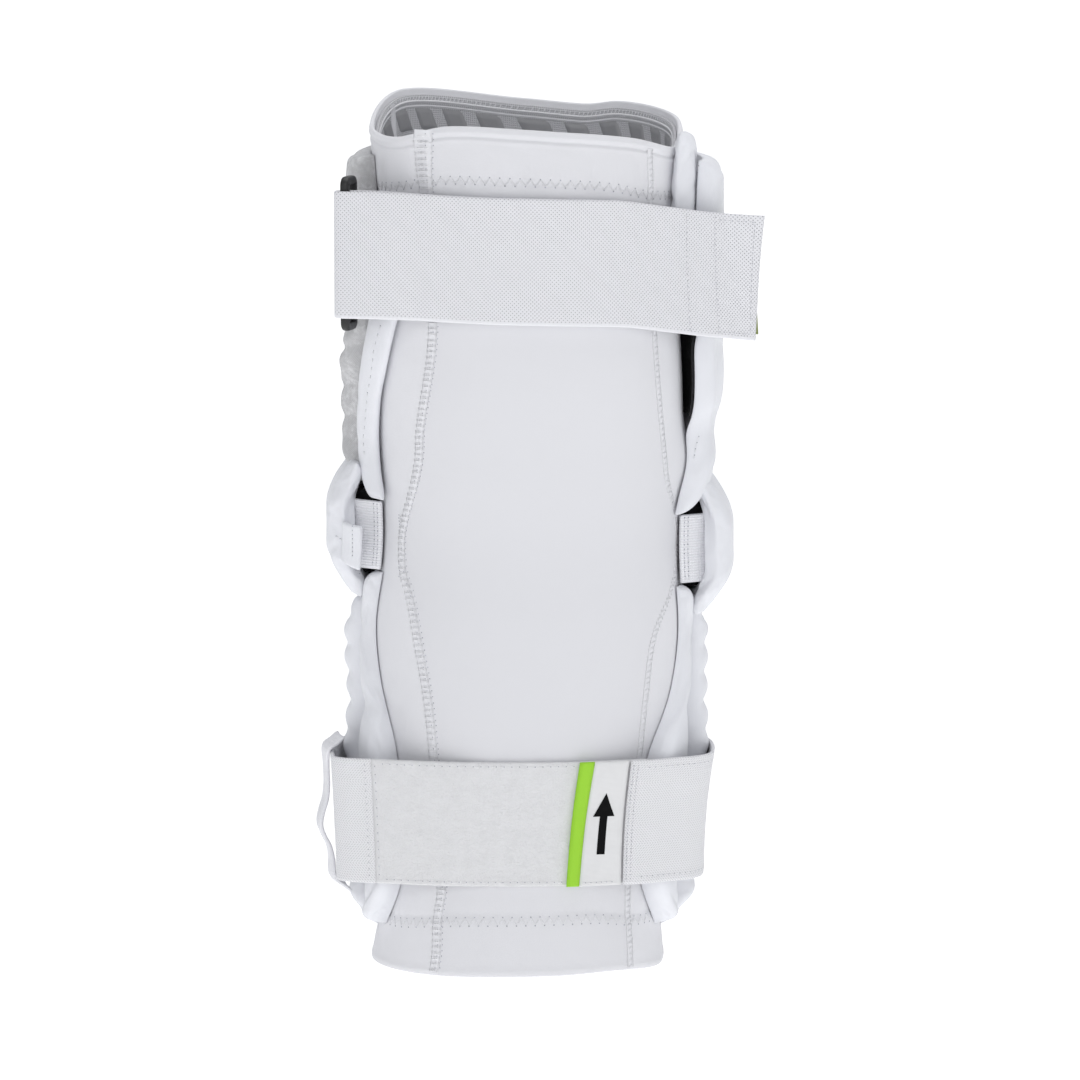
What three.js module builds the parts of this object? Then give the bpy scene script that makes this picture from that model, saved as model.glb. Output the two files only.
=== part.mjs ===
import * as THREE from 'three';

// Arm pad with an upper arm pad, an elbow cap and a forearm pad on a compression sleeve.
// Millimetres. The arm runs along Z with the shoulder up, and the origin is on its axis at the elbow.
// The inner side of the arm, with the straps, faces -Y. Angles run from +X (0) over the outer side
// (90) to -X (180), and the middle of the inner side is at 270 or -90.

// Sleeve
const sleeveLength = 343;
const sleeveWidth = 124;
const sleeveDepth = 90;
const sleeveWall = 1.6;
const sleeveRoundness = 2.3;
const elbowBow = 8;
const seatGap = 0.55;
const pieceGap = 0.3;
const gripperHeight = 30;
const gripperThickness = 1;
const gripperDrop = 2;

// Upper arm pad
const upperPadTop = sleeveLength * 0.455;
const upperPadBottom = sleeveLength * 0.05;
const upperPadThickness = 10;
const upperBackRise = 5;
const upperPadEndThickness = 7;
const liningThickness = 1.2;
const liningEnd = 50;
const wingGap = 4.5;
const wingAngle = -14;
const wingDrop = 5;
const sidePanelThickness = 10.4;
const sidePanelBottom = upperPadBottom + 5;
const sidePanelStart = 140;
const sidePanelEnd = 195;
const sidePanelTop = upperPadTop + 2;
const sidePanelRound = 5;
const creaseDepth = 1.2;
const creaseWidth = 3;
const flapThickness = 5.4;
const flapTop = sleeveLength * 0.292;
const flapBottom = upperPadBottom + 1;
const flapRound = 6;
const flapClearance = 1.4;
const rollThickness = 7;
const rollTop = upperPadTop + 12;
const rollBottom = sleeveLength * 0.283;
const rollFade = 13;
const rollClearance = 5;
const rollStart = -24;
const rollEnd = -5;

// Elbow cap
const capThickness = 8;
const capDome = 15;
const capWrap = 205;
const capSideHeight = 55;
const capBackHeight = 98;
const capLeftCentre = 5;
const capRightCentre = -2.5;
const capRound = 13;
const capEdgeRound = 7;
const tabDrop = 2.5;
const linerThickness = 11.2;
const linerWrap = 183;
const linerHeight = 34;
const bandHeight = 28;
const bandThickness = 1.8;
const bandLeftCentre = 3;
const bandRightCentre = -3;
const bandLeftStart = 203;
const bandLeftEnd = 184.5;
const bandRightStart = -21;
const bandRightEnd = -4.5;
const tabHeight = 18;
const tabThickness = 2.6;
const tabEndAngle = 200;
const tabDip = 5;
const tabClearance = 1.1;

// Forearm pad
const forearmTop = -sleeveLength * 0.064;
const forearmBottom = -sleeveLength * 0.46;
const forearmThickness = 11.5;
const forearmStart = -8;
const forearmEnd = 188;
const forearmRound = 7;
const forearmEndRound = 14;
const forearmBackDrop = 6;
const forearmBackSwell = 3;
const ribPitch = 12;
const ribHeight = 0.8;
const edgeRollThickness = 6;
const edgeRollSwell = 0.6;

// Straps
const strapWidth = 50.8;
const strapThickness = 1.6;
const layerGap = 0.4;
const upperStrapCentre = sleeveLength * 0.345;
const upperStrapStart = -27;
const upperStrapEnd = -9.5;
const loopLength = 62;
const loopBar = 3.6;
const loopDepth = 15;
const loopStandOff = 22.2;
const loopTilt = 7.2;
const loopFarAngle = -158.5;
const loopCorner = 3;
const loopHoleCorner = 1;
const endSlant = 0.9;
const keeperWidth = 34;
const keeperThickness = 1.5;
const keeperAngles = [172, 178, 184, 190];
const hookThickness = 1.4;
const hookHeight = 46;
const hookStart = -12.4;
const hookEnd = -9.7;
const lowerStrapCentre = -sleeveLength * 0.3216;
const lowerStrapWrap = 199;
const lowerStrapEnd = 12;
const lowerStrapClearance = 1;
const pileLeftEdge = -59;
const pileOverlap = 8;
const stepStart = 10;
const stepEnd = 24;
const slotAngle = -171;
const slotSpan = 9;
const slotLift = 1.2;
const slotKeeperThickness = 1.8;
const slotKeeperHeight = 63;
const pullTabThickness = 2.4;
const pullTabStart = 23.8;
const pullTabEnd = 41;
const pullTabEdgeWidth = 5.4;

// The sleeve's section at shares of its length, as shares of its width, its depth and the elbow's bow.
const sleeveTable = [
  { at: -0.5, width: 0.962, depth: 0.93, side: -0.013, bow: 0 },
  { at: -0.42, width: 0.91, depth: 0.9, side: -0.002, bow: 0.1 },
  { at: -0.32, width: 0.925, depth: 0.91, side: 0, bow: 0.3 },
  { at: -0.2, width: 0.99, depth: 0.96, side: 0.012, bow: 0.62 },
  { at: -0.1, width: 1.02, depth: 0.98, side: 0.018, bow: 0.88 },
  { at: 0, width: 0.985, depth: 0.97, side: 0.028, bow: 1 },
  { at: 0.1, width: 1.0, depth: 1.0, side: 0.028, bow: 0.9 },
  { at: 0.2, width: 1.005, depth: 1.01, side: 0.026, bow: 0.6 },
  { at: 0.34, width: 0.975, depth: 0.99, side: 0.02, bow: 0.2 },
  { at: 0.42, width: 0.985, depth: 1.0, side: 0.016, bow: 0.05 },
  { at: 0.5, width: 1.016, depth: 1.03, side: 0.016, bow: 0 },
];

// How far the two rims rise, as shares of the sleeve's length.
const rimTable = [
  { at: -180, top: -0.007, bottom: 0.0 },
  { at: -144, top: -0.01, bottom: -0.002 },
  { at: -115, top: 0.006, bottom: -0.003 },
  { at: -77, top: -0.001, bottom: -0.001 },
  { at: -52, top: -0.009, bottom: 0.001 },
  { at: -14, top: -0.028, bottom: -0.004 },
  { at: 4, top: -0.01, bottom: 0.001 },
  { at: 26, top: 0, bottom: 0.003 },
  { at: 55, top: 0.006, bottom: 0.001 },
  { at: 72, top: 0.003, bottom: 0.0 },
  { at: 141, top: 0.023, bottom: 0.002 },
  { at: 180, top: -0.007, bottom: 0.0 },
];

const radians = THREE.MathUtils.degToRad;
const mix = THREE.MathUtils.lerp;
const clamp = THREE.MathUtils.clamp;
const smooth = THREE.MathUtils.smoothstep;

// A column of a table read smoothly at any place between its rows.
function read(table, column, at) {
  const place = clamp(at, table[0].at, table[table.length - 1].at);
  let k = 0;
  while (k < table.length - 2 && place > table[k + 1].at) k += 1;
  const low = table[k];
  const high = table[k + 1];
  const before = table[Math.max(k - 1, 0)];
  const after = table[Math.min(k + 2, table.length - 1)];
  const span = high.at - low.at;
  const t = (place - low.at) / span;
  const lowSlope = (high[column] - before[column]) / Math.max(high.at - before.at, 1e-6);
  const highSlope = (after[column] - low[column]) / Math.max(after.at - low.at, 1e-6);
  const a = (2 * t ** 3 - 3 * t ** 2 + 1) * low[column] + (-2 * t ** 3 + 3 * t ** 2) * high[column];
  const b = (t ** 3 - 2 * t ** 2 + t) * lowSlope + (t ** 3 - t ** 2) * highSlope;
  return a + b * span;
}

const power = (value, exponent) => Math.sign(value) * Math.abs(value) ** exponent;

// A point at an angle and a height, lifted off the sleeve's outer face.
function lifted(angle, z, lift) {
  const share = z / sleeveLength;
  const halfWidth = (read(sleeveTable, 'width', share) * sleeveWidth) / 2;
  const halfDepth = (read(sleeveTable, 'depth', share) * sleeveDepth) / 2;
  const c = Math.cos(radians(angle));
  const s = Math.sin(radians(angle));
  const out = 2 / sleeveRoundness;
  const normal = new THREE.Vector2(power(c, 2 - out) / halfWidth, power(s, 2 - out) / halfDepth);
  normal.normalize();
  const x = read(sleeveTable, 'side', share) * sleeveWidth + halfWidth * power(c, out);
  const y = read(sleeveTable, 'bow', share) * elbowBow + halfDepth * power(s, out);
  return new THREE.Vector3(x + normal.x * lift, y + normal.y * lift, z);
}

const stepsAround = 36;
const angleStep = 360 / stepsAround;
const group = new THREE.Group();

// A closed solid from stations that each hold an inner and an outer row of points.
function addSolid(name, stations, closed, colour, roughness) {
  const rows = stations[0].inner.length;
  const points = [];
  for (const station of stations) {
    for (const point of [...station.inner, ...station.outer]) points.push(point.x, point.y, point.z);
  }
  const at = (station, row, outer) => ((station % stations.length) * 2 + (outer ? 1 : 0)) * rows + row;
  const faces = [];
  const quad = (a, b, c, d) => faces.push(a, b, c, a, c, d);
  const last = stations.length - (closed ? 0 : 1);
  for (let i = 0; i < last; i += 1) {
    for (let k = 0; k < rows - 1; k += 1) {
      quad(at(i, k, true), at(i + 1, k, true), at(i + 1, k + 1, true), at(i, k + 1, true));
      quad(at(i, k, false), at(i, k + 1, false), at(i + 1, k + 1, false), at(i + 1, k, false));
    }
    quad(at(i, 0, false), at(i + 1, 0, false), at(i + 1, 0, true), at(i, 0, true));
    const top = rows - 1;
    quad(at(i, top, true), at(i + 1, top, true), at(i + 1, top, false), at(i, top, false));
  }
  if (!closed) {
    for (let k = 0; k < rows - 1; k += 1) {
      quad(at(0, k, false), at(0, k, true), at(0, k + 1, true), at(0, k + 1, false));
      quad(at(last, k, false), at(last, k + 1, false), at(last, k + 1, true), at(last, k, true));
    }
  }
  const geometry = new THREE.BufferGeometry();
  geometry.setAttribute('position', new THREE.Float32BufferAttribute(points, 3));
  geometry.setIndex(faces);
  geometry.computeVertexNormals();
  const mesh = new THREE.Mesh(geometry, new THREE.MeshStandardMaterial({ color: colour, roughness }));
  mesh.name = name;
  group.add(mesh);
}

const white = 0xe4e4e8;
const grey = 0xb9babd;
const black = 0x16161a;
const olive = 0x8f9a58;
const green = 0x9dd93f;

// A tube round the arm between two rims, inward from a lift.
function addTube(name, lift, wall, bottom, top, levels, colour) {
  const stations = [];
  for (let i = 0; i < stepsAround; i += 1) {
    const angle = -180 + i * angleStep;
    const low = bottom(angle);
    const high = top(angle);
    const station = { inner: [], outer: [] };
    for (let k = 0; k <= levels; k += 1) {
      const z = mix(low, high, k / levels);
      station.inner.push(lifted(angle, z, lift - wall));
      station.outer.push(lifted(angle, z, lift));
    }
    stations.push(station);
  }
  addSolid(name, stations, true, colour, 0.85);
}

const topRim = (angle) => sleeveLength * (0.5 + read(rimTable, 'top', angle));
const bottomRim = (angle) => -sleeveLength * (0.5 - read(rimTable, 'bottom', angle));

// How full a padded edge is at a distance from it, from thin at the edge to 1 past the round.
function edgeFullness(distance, round, thin) {
  const t = clamp(distance / round, 0, 1);
  return thin + (1 - thin) * Math.sqrt(1 - (1 - t) ** 2);
}

const spread = (k, count) => (1 - Math.cos((Math.PI * k) / count)) / 2;

// The angles of a panel's stations: its two side edges, and between them the sleeve's own steps, so that
// the flat faces of both lie parallel.
function anglePlaces({ from, to, edgeSteps = [0, 0.15, 0.45] }) {
  const shares = [0, 0.25, 0.5, 0.75, 1];
  const start = Math.max(...shares.map(from));
  const end = Math.min(...shares.map(to));
  const first = Math.ceil((start + angleStep * 0.4) / angleStep) * angleStep;
  const last = Math.floor((end - angleStep * 0.4) / angleStep) * angleStep;
  const places = edgeSteps.map((share) => (v) => mix(from(v), first, share));
  for (let angle = first; angle <= last + 0.01; angle += angleStep) places.push(() => angle);
  return [...places, ...edgeSteps.map((share) => (v) => mix(to(v), last, share)).reverse()];
}

// A padded panel that wraps the arm. Its limits and lifts are functions of angle or height:
// from and to give the side edges at a height share, low and high the ends at an angle.
function addPanel(name, form, colour) {
  const { levels, from, to, low, high, inner, outer } = form;
  const round = form.round ?? 8;
  const thin = form.thin ?? 0.25;
  const stations = [];
  for (const place of anglePlaces(form)) {
    const station = { inner: [], outer: [] };
    for (let k = 0; k <= levels; k += 1) {
      const v = form.even ? k / levels : spread(k, levels);
      const angle = place(v);
      const z = mix(low(angle), high(angle), v);
      const a = inner(angle, z);
      const b = outer(angle, z);
      const here = lifted(angle, z, a);
      const ends = Math.min(z - low(angle), high(angle) - z);
      const sides = Math.min(here.distanceTo(lifted(from(v), z, a)), here.distanceTo(lifted(to(v), z, a)));
      const full = edgeFullness(ends, form.endRound ?? round, thin) * edgeFullness(sides, round, thin);
      const hold = form.seated ? 0 : (1 - full) / 2;
      const thickness = b - a;
      station.inner.push(lifted(angle, z, a + thickness * hold));
      station.outer.push(lifted(angle, z, form.seated ? a + thickness * full : b - thickness * hold));
    }
    stations.push(station);
  }
  addSolid(name, stations, false, colour, 0.8);
}

// A flat band along a path. Each place on it gives a point for a share across its width.
function addBand(name, path, thickness, rows, colour) {
  const grid = path.map((place) => Array.from({ length: rows + 1 }, (_, k) => place(k / rows)));
  const stations = grid.map((row, i) => {
    const station = { inner: [], outer: [] };
    row.forEach((point, k) => {
      const ahead = grid[Math.min(i + 1, grid.length - 1)][k];
      const along = ahead.clone().sub(grid[Math.max(i - 1, 0)][k]);
      const wide = row[Math.min(k + 1, rows)].clone().sub(row[Math.max(k - 1, 0)]);
      const normal = along.cross(wide).normalize();
      station.inner.push(point.clone().addScaledVector(normal, -thickness / 2));
      station.outer.push(point.clone().addScaledVector(normal, thickness / 2));
    });
    return station;
  });
  addSolid(name, stations, false, colour, 0.85);
}

// Sleeve and its gripper band
addTube('sleeve', 0, sleeveWall, bottomRim, topRim, 14, white);
const gripperTop = (angle) => topRim(angle) - gripperDrop;
const gripperBottom = (angle) => topRim(angle) - gripperDrop - gripperHeight;
addTube('cuff_gripper_band', -sleeveWall - pieceGap, gripperThickness, gripperBottom, gripperTop, 3, grey);

// Upper arm pad
const backShare = (angle) => Math.max(Math.sin(radians(angle)), 0);
const upperHeight = upperPadTop - upperPadBottom;
const liningOuter = seatGap + liningThickness;
const shellInner = liningOuter + pieceGap;
const rollSpace = seatGap + rollThickness + pieceGap - liningOuter + liningThickness;

// The right edge's distance from the sleeve, as shares of the wing's gap at shares of the pad's height.
const wingTable = [
  { at: 0, gap: 0.45 },
  { at: 0.2, gap: 0.75 },
  { at: 0.45, gap: 1 },
  { at: 0.62, gap: 1.15 },
  { at: 1, gap: 1.5 },
];
function standOff(angle, z) {
  const open = 1 - smooth(angle, wingAngle + 14, wingAngle + 50);
  const above = smooth(z, rollBottom - rollClearance - rollFade, rollBottom - rollClearance);
  return open * mix(read(wingTable, 'gap', (z - upperPadBottom) / upperHeight) * wingGap, rollSpace, above);
}
const upperTaper = (z) => smooth(z, upperPadBottom, upperPadBottom + upperHeight * 0.35);
const wingShare = (angle) => clamp(angle / wingAngle, 0, 1);
const upperLow = (angle) => upperPadBottom + upperBackRise * backShare(angle) - wingDrop * wingShare(angle);
const upperHigh = (angle) => upperPadTop + upperBackRise * backShare(angle);
const shellThickness = (z) => mix(upperPadEndThickness, upperPadThickness, upperTaper(z));
const shellFoot = (angle) => mix(shellInner, seatGap, smooth(angle, liningEnd + 5, liningEnd + 30));
addPanel('upper_pad_lining', {
  levels: 11,
  from: () => Math.ceil(wingAngle / angleStep) * angleStep,
  to: () => liningEnd,
  low: upperLow,
  high: upperHigh,
  inner: (angle, z) => seatGap + standOff(angle, z),
  outer: (angle, z) => liningOuter + standOff(angle, z),
  edgeSteps: [0],
  thin: 1,
  seated: true,
}, black);
addPanel('upper_pad', {
  levels: 11,
  from: () => wingAngle,
  to: () => sidePanelStart,
  low: upperLow,
  high: upperHigh,
  inner: (angle, z) => shellFoot(angle) + standOff(angle, z),
  outer: (angle, z) => shellInner + standOff(angle, z) + shellThickness(z),
  seated: true,
}, white);

// The left flap's edges at shares of its height.
const flapTable = [
  { at: 0, start: 194, end: 205 },
  { at: 0.12, start: 187, end: 200 },
  { at: 0.3, start: 184, end: 197 },
  { at: 0.5, start: 185, end: 203 },
  { at: 0.65, start: 190, end: 211 },
  { at: 0.88, start: 199, end: 217 },
  { at: 1, start: 203, end: 221 },
];
const flapShare = (z) => (z - flapBottom) / (flapTop - flapBottom);
const creases = [0.36, 0.56];
function creasing(z) {
  const away = creases.map((place) => (z - upperPadBottom - place * upperHeight) / creaseWidth);
  return creaseDepth * away.reduce((sum, distance) => sum + Math.exp(-(distance ** 2)), 0);
}
const sidePanelEdge = (z) => Math.min(read(flapTable, 'start', flapShare(z)) - flapClearance, sidePanelEnd);
addPanel('upper_pad_side_panel', {
  levels: 15,
  from: () => sidePanelStart + 0.8,
  to: (v) => sidePanelEdge(mix(sidePanelBottom, sidePanelTop, v)),
  low: () => sidePanelBottom,
  high: (angle) => sidePanelTop + upperBackRise * backShare(angle),
  inner: () => seatGap,
  outer: (angle, z) => seatGap + sidePanelThickness * mix(0.8, 1, upperTaper(z)) - creasing(z),
  round: sidePanelRound,
  seated: true,
  even: true,
}, grey);
addPanel('upper_pad_flap_left', {
  levels: 10,
  from: (v) => read(flapTable, 'start', v),
  to: (v) => read(flapTable, 'end', v),
  low: () => flapBottom,
  high: () => flapTop,
  inner: () => seatGap,
  outer: () => seatGap + flapThickness,
  edgeSteps: [0, 0.3],
  round: flapRound,
}, white);
addPanel('upper_pad_roll_right', {
  levels: 8,
  from: () => rollStart,
  to: () => rollEnd,
  low: () => rollBottom,
  high: () => rollTop,
  inner: () => seatGap,
  outer: () => seatGap + rollThickness,
  edgeSteps: [0, 0.35],
  round: flapRound,
}, white);

// Elbow cap, its liner, and the bands that carry it
const capInner = seatGap + linerThickness + pieceGap * 2;
const capStart = 90 - capWrap / 2;
const capEnd = 90 + capWrap / 2;
const capHalf = (angle) => mix(capSideHeight, capBackHeight, backShare(angle) ** 1.5) / 2;
const capCentre = (angle) => mix(capRightCentre, capLeftCentre, clamp(angle / 180, 0, 1));
function dome(angle, z) {
  const level = Math.max(1 - ((z - capCentre(angle)) / (capBackHeight / 2)) ** 2, 0);
  return capDome * backShare(angle) ** 1.3 * level;
}
addPanel('elbow_cap_liner', {
  levels: 4,
  from: () => 90 - linerWrap / 2,
  to: () => 90 + linerWrap / 2,
  low: (angle) => mix(bandRightCentre, bandLeftCentre, angle / 180) - linerHeight / 2,
  high: (angle) => mix(bandRightCentre, bandLeftCentre, angle / 180) + linerHeight / 2,
  inner: () => seatGap,
  outer: (angle, z) => seatGap + linerThickness + dome(angle, z) / 2,
  round: 3,
  thin: 0.6,
  seated: true,
}, black);
addPanel('elbow_cap', {
  levels: 9,
  from: () => capStart,
  to: () => capEnd,
  low: (angle) => capCentre(angle) - capHalf(angle),
  high: (angle) => capCentre(angle) + capHalf(angle),
  inner: (angle, z) => capInner + dome(angle, z) / 2,
  outer: (angle, z) => capInner + capThickness + dome(angle, z),
  round: capEdgeRound,
  endRound: capRound,
  thin: 0.3,
}, white);

// The elastic bands' paths, as shares of the way from the sleeve's face to the cap's inner face.
const bandTable = [
  { at: 0, out: 0 },
  { at: 0.35, out: 0.3 },
  { at: 0.7, out: 0.7 },
  { at: 1, out: 1 },
];
const bandFoot = seatGap + bandThickness / 2;
const bandHead = capInner - pieceGap - bandThickness / 2;
function bandPath(start, end, centre) {
  const path = [];
  for (let i = 0; i <= 8; i += 1) {
    const share = i / 8;
    const lift = mix(bandFoot, bandHead, read(bandTable, 'out', share));
    path.push((across) => lifted(mix(start, end, share), centre + (across - 0.5) * bandHeight, lift));
  }
  return path;
}
addBand('elbow_band_left', bandPath(bandLeftStart, bandLeftEnd, bandLeftCentre), bandThickness, 3, white);
addBand('elbow_band_right', bandPath(bandRightStart, bandRightEnd, bandRightCentre), bandThickness, 3, white);
const tabPath = [0, 0.5, 1].map((share) => (across) => {
  const lift = capInner + capThickness / 2 - share * tabDip;
  const z = bandLeftCentre - tabDrop + (across - 0.5) * tabHeight;
  return lifted(mix(capEnd + tabClearance, tabEndAngle, share), z, lift);
});
addBand('elbow_tab_left', tabPath, tabThickness, 3, white);

// Forearm pad: its thickness at its two sides, as shares, at shares of its height from the bottom.
const forearmHeight = forearmTop - forearmBottom;
const forearmTable = [
  { at: 0, left: 0.75, right: 0.7 },
  { at: 0.09, left: 1.12, right: 1.2 },
  { at: 0.2, left: 1.2, right: 1.36 },
  { at: 0.4, left: 1.22, right: 1.38 },
  { at: 0.55, left: 1.12, right: 1.3 },
  { at: 0.66, left: 0.94, right: 1.08 },
  { at: 0.8, left: 0.9, right: 0.9 },
  { at: 0.92, left: 0.9, right: 0.84 },
  { at: 1, left: 0.8, right: 0.76 },
];
function forearmOuter(angle, z) {
  const share = (z - forearmBottom) / forearmHeight;
  const side = clamp(angle / 180, 0, 1);
  const full = mix(read(forearmTable, 'right', share), read(forearmTable, 'left', share), side);
  return seatGap + forearmThickness * full + forearmBackSwell * backShare(angle);
}
const ribbing = (z) => ribHeight * Math.cos((2 * Math.PI * (z - forearmBottom)) / ribPitch);
addPanel('forearm_pad', {
  levels: Math.round((2 * forearmHeight) / ribPitch),
  from: () => forearmStart,
  to: () => forearmEnd,
  low: () => forearmBottom,
  high: (angle) => forearmTop - forearmBackDrop * backShare(angle),
  inner: () => seatGap,
  outer: (angle, z) => forearmOuter(angle, z) - ribHeight + ribbing(z),
  round: forearmRound,
  endRound: forearmEndRound,
  thin: 0.2,
  seated: true,
  even: true,
}, white);

// The rolled edges beside the sleeve, on its inner face's two sides.
const edgeTable = [
  { at: 0, left: 202, right: -20 },
  { at: 0.15, left: 214, right: -34 },
  { at: 0.5, left: 214, right: -36 },
  { at: 0.7, left: 203, right: -22 },
  { at: 0.85, left: 201, right: -18 },
  { at: 1, left: 206, right: -22 },
];
const forearmRoll = {
  levels: 12,
  low: () => forearmBottom + pieceGap * 7,
  edgeSteps: [0, 0.4],
  round: flapRound,
};
const edgeSwell = (z) => 1 + edgeRollSwell * smooth(-z, -forearmTop + 40, -forearmTop + 70);
addPanel('forearm_roll_left', {
  ...forearmRoll,
  high: () => bandLeftCentre - bandHeight / 2 - pieceGap * 3,
  from: () => forearmEnd + 0.7,
  to: (v) => read(edgeTable, 'left', v),
  inner: () => seatGap,
  outer: (angle, z) => seatGap + edgeRollThickness * edgeSwell(z),
}, white);
addPanel('forearm_roll_right', {
  ...forearmRoll,
  high: () => bandRightCentre - bandHeight / 2 - pieceGap * 3,
  from: (v) => read(edgeTable, 'right', v),
  to: () => forearmStart - 0.7,
  inner: () => seatGap,
  outer: (angle, z) => seatGap + edgeRollThickness * edgeSwell(z),
}, white);

// Upper strap. Its base line runs midway between its two layers: against the sleeve in the middle, out to
// the loop's near bar on the left, and over the pad's edge on the right. Rise is a share of its width.
const strapContact = seatGap + strapThickness + layerGap / 2;
const upperReach = shellInner + rollSpace + upperPadThickness + pieceGap + layerGap;
const upperStrapTable = [
  { at: -153, left: 1, right: 0, rise: 0.03 },
  { at: -145, left: 0.6, right: 0, rise: 0.03 },
  { at: -130, left: 0.2, right: 0, rise: 0.02 },
  { at: -118, left: 0.05, right: 0, rise: 0.01 },
  { at: -105, left: 0, right: 0, rise: 0 },
  { at: -60, left: 0, right: 0, rise: -0.03 },
  { at: -50, left: 0, right: 0.02, rise: -0.05 },
  { at: -40, left: 0, right: 0.12, rise: -0.08 },
  { at: -30, left: 0, right: 0.31, rise: -0.11 },
  { at: -22, left: 0, right: 0.58, rise: -0.14 },
  { at: -14, left: 0, right: 1.02, rise: -0.17 },
  { at: -9, left: 0, right: 1.58, rise: -0.2 },
];
function upperStrapLine(angle, across) {
  const left = read(upperStrapTable, 'left', angle) * (loopStandOff - strapContact);
  const right = read(upperStrapTable, 'right', angle) * (upperReach - strapContact);
  const middle = upperStrapCentre + read(upperStrapTable, 'rise', angle) * strapWidth;
  const z = middle + (across - 0.5) * strapWidth;
  const straight = smooth(-angle, 120, 145);
  return lifted(angle, mix(z, middle, straight), strapContact + left + right).setZ(z);
}
function besideLine(line, angle, across, side, ahead) {
  const point = line(angle, across);
  const along = line(angle + 0.5, across).sub(line(angle - 0.5, across)).setZ(0).normalize();
  const out = new THREE.Vector3(along.y, -along.x, 0);
  return point.addScaledVector(out, side).addScaledVector(along, ahead);
}
const layerHalf = (strapThickness + layerGap) / 2;
const barRound = loopBar * Math.SQRT1_2;
const foldHalf = barRound + pieceGap + strapThickness / 2;
const foldAngle = upperStrapTable[0].at + 0.5;
const spacing = (angle) => mix(layerHalf, foldHalf, 1 - smooth(angle, foldAngle + 2, foldAngle + 26));
const upperStrapPath = [];
for (let angle = upperStrapStart; angle > foldAngle + 1; angle -= 6) {
  upperStrapPath.push((across) => besideLine(upperStrapLine, angle, across, -spacing(angle), 0));
}
for (let turn = -90; turn <= 90; turn += 30) {
  const side = foldHalf * Math.sin(radians(turn));
  const ahead = -foldHalf * Math.cos(radians(turn));
  upperStrapPath.push((across) => besideLine(upperStrapLine, foldAngle, across, side, ahead));
}
for (let angle = foldAngle + 4; angle < upperStrapEnd - 6.5; angle += 6) {
  upperStrapPath.push((across) => besideLine(upperStrapLine, angle, across, spacing(angle), 0));
}
for (const share of [0, 0.35, 0.7, 1]) {
  const slant = (across) => endSlant * share * (across - 0.5);
  const angle = (across) => mix(upperStrapEnd - 4.5, upperStrapEnd, share) + slant(across);
  upperStrapPath.push((across) => besideLine(upperStrapLine, angle(across), across, layerHalf, 0));
}
addBand('upper_strap', upperStrapPath, strapThickness, 2, white);

// Hook tab behind the strap's end
const hookSide = layerHalf - strapThickness / 2 - pieceGap - hookThickness / 2;
const hookPath = [0, 1 / 3, 2 / 3, 1].map((place) => (across) => {
  const share = 0.5 + ((across - 0.5) * hookHeight) / strapWidth;
  return besideLine(upperStrapLine, mix(hookStart, hookEnd, place), share, hookSide, 0);
});
addBand('strap_hook_tab', hookPath, hookThickness, 2, olive);

// Rectangular loop, with its near bar inside the strap's fold
const nearBar = upperStrapLine(foldAngle, 0.5);
const farBar = lifted(loopFarAngle, nearBar.z, loopStandOff - loopTilt);
const loopAlong = farBar.clone().sub(nearBar).setZ(0).normalize();
const outline = new THREE.Shape();
const hole = new THREE.Path();
function rectangle(path, width, height, corner) {
  const x = width / 2;
  const y = height / 2;
  path.moveTo(-x + corner, -y);
  path.lineTo(x - corner, -y);
  path.quadraticCurveTo(x, -y, x, -y + corner);
  path.lineTo(x, y - corner);
  path.quadraticCurveTo(x, y, x - corner, y);
  path.lineTo(-x + corner, y);
  path.quadraticCurveTo(-x, y, -x, y - corner);
  path.lineTo(-x, -y + corner);
  path.quadraticCurveTo(-x, -y, -x + corner, -y);
}
rectangle(outline, loopDepth, loopLength, loopCorner);
rectangle(hole, loopDepth - loopBar * 2, loopLength - loopBar * 2, loopHoleCorner);
outline.holes.push(hole);
const ring = new THREE.ExtrudeGeometry(outline, { depth: loopBar, bevelEnabled: false, curveSegments: 3 });
ring.translate(loopDepth / 2 - loopBar / 2, 0, -loopBar / 2);
const loop = new THREE.Mesh(ring, new THREE.MeshStandardMaterial({ color: black, roughness: 0.45 }));
loop.name = 'strap_loop';
const loopOut = new THREE.Vector3().crossVectors(loopAlong, new THREE.Vector3(0, 0, 1));
const loopTurn = new THREE.Matrix4().makeBasis(loopAlong, new THREE.Vector3(0, 0, 1), loopOut);
loop.quaternion.setFromRotationMatrix(loopTurn);
loop.position.copy(nearBar);
group.add(loop);

// Webbing that holds the loop's far bar to the side panel
const farBarAt = nearBar.clone().addScaledVector(loopAlong, loopDepth - loopBar);
const keeperLift = seatGap + sidePanelThickness + pieceGap + keeperThickness / 2;
const keeperFold = barRound + layerGap * 3 + keeperThickness / 2;
const keeperPath = [];
for (const angle of keeperAngles) {
  keeperPath.push((across) => lifted(angle, nearBar.z + (across - 0.5) * keeperWidth, keeperLift));
}
for (let turn = 100; turn >= -80; turn -= 22.5) {
  const place = farBarAt.clone();
  place.addScaledVector(loopAlong, -keeperFold * Math.cos(radians(turn - 10)));
  place.addScaledVector(loopOut, keeperFold * Math.sin(radians(turn - 10)));
  keeperPath.push((across) => place.clone().setZ(nearBar.z + (across - 0.5) * keeperWidth));
}
addBand('strap_loop_keeper', keeperPath, keeperThickness, 1, white);

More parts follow.
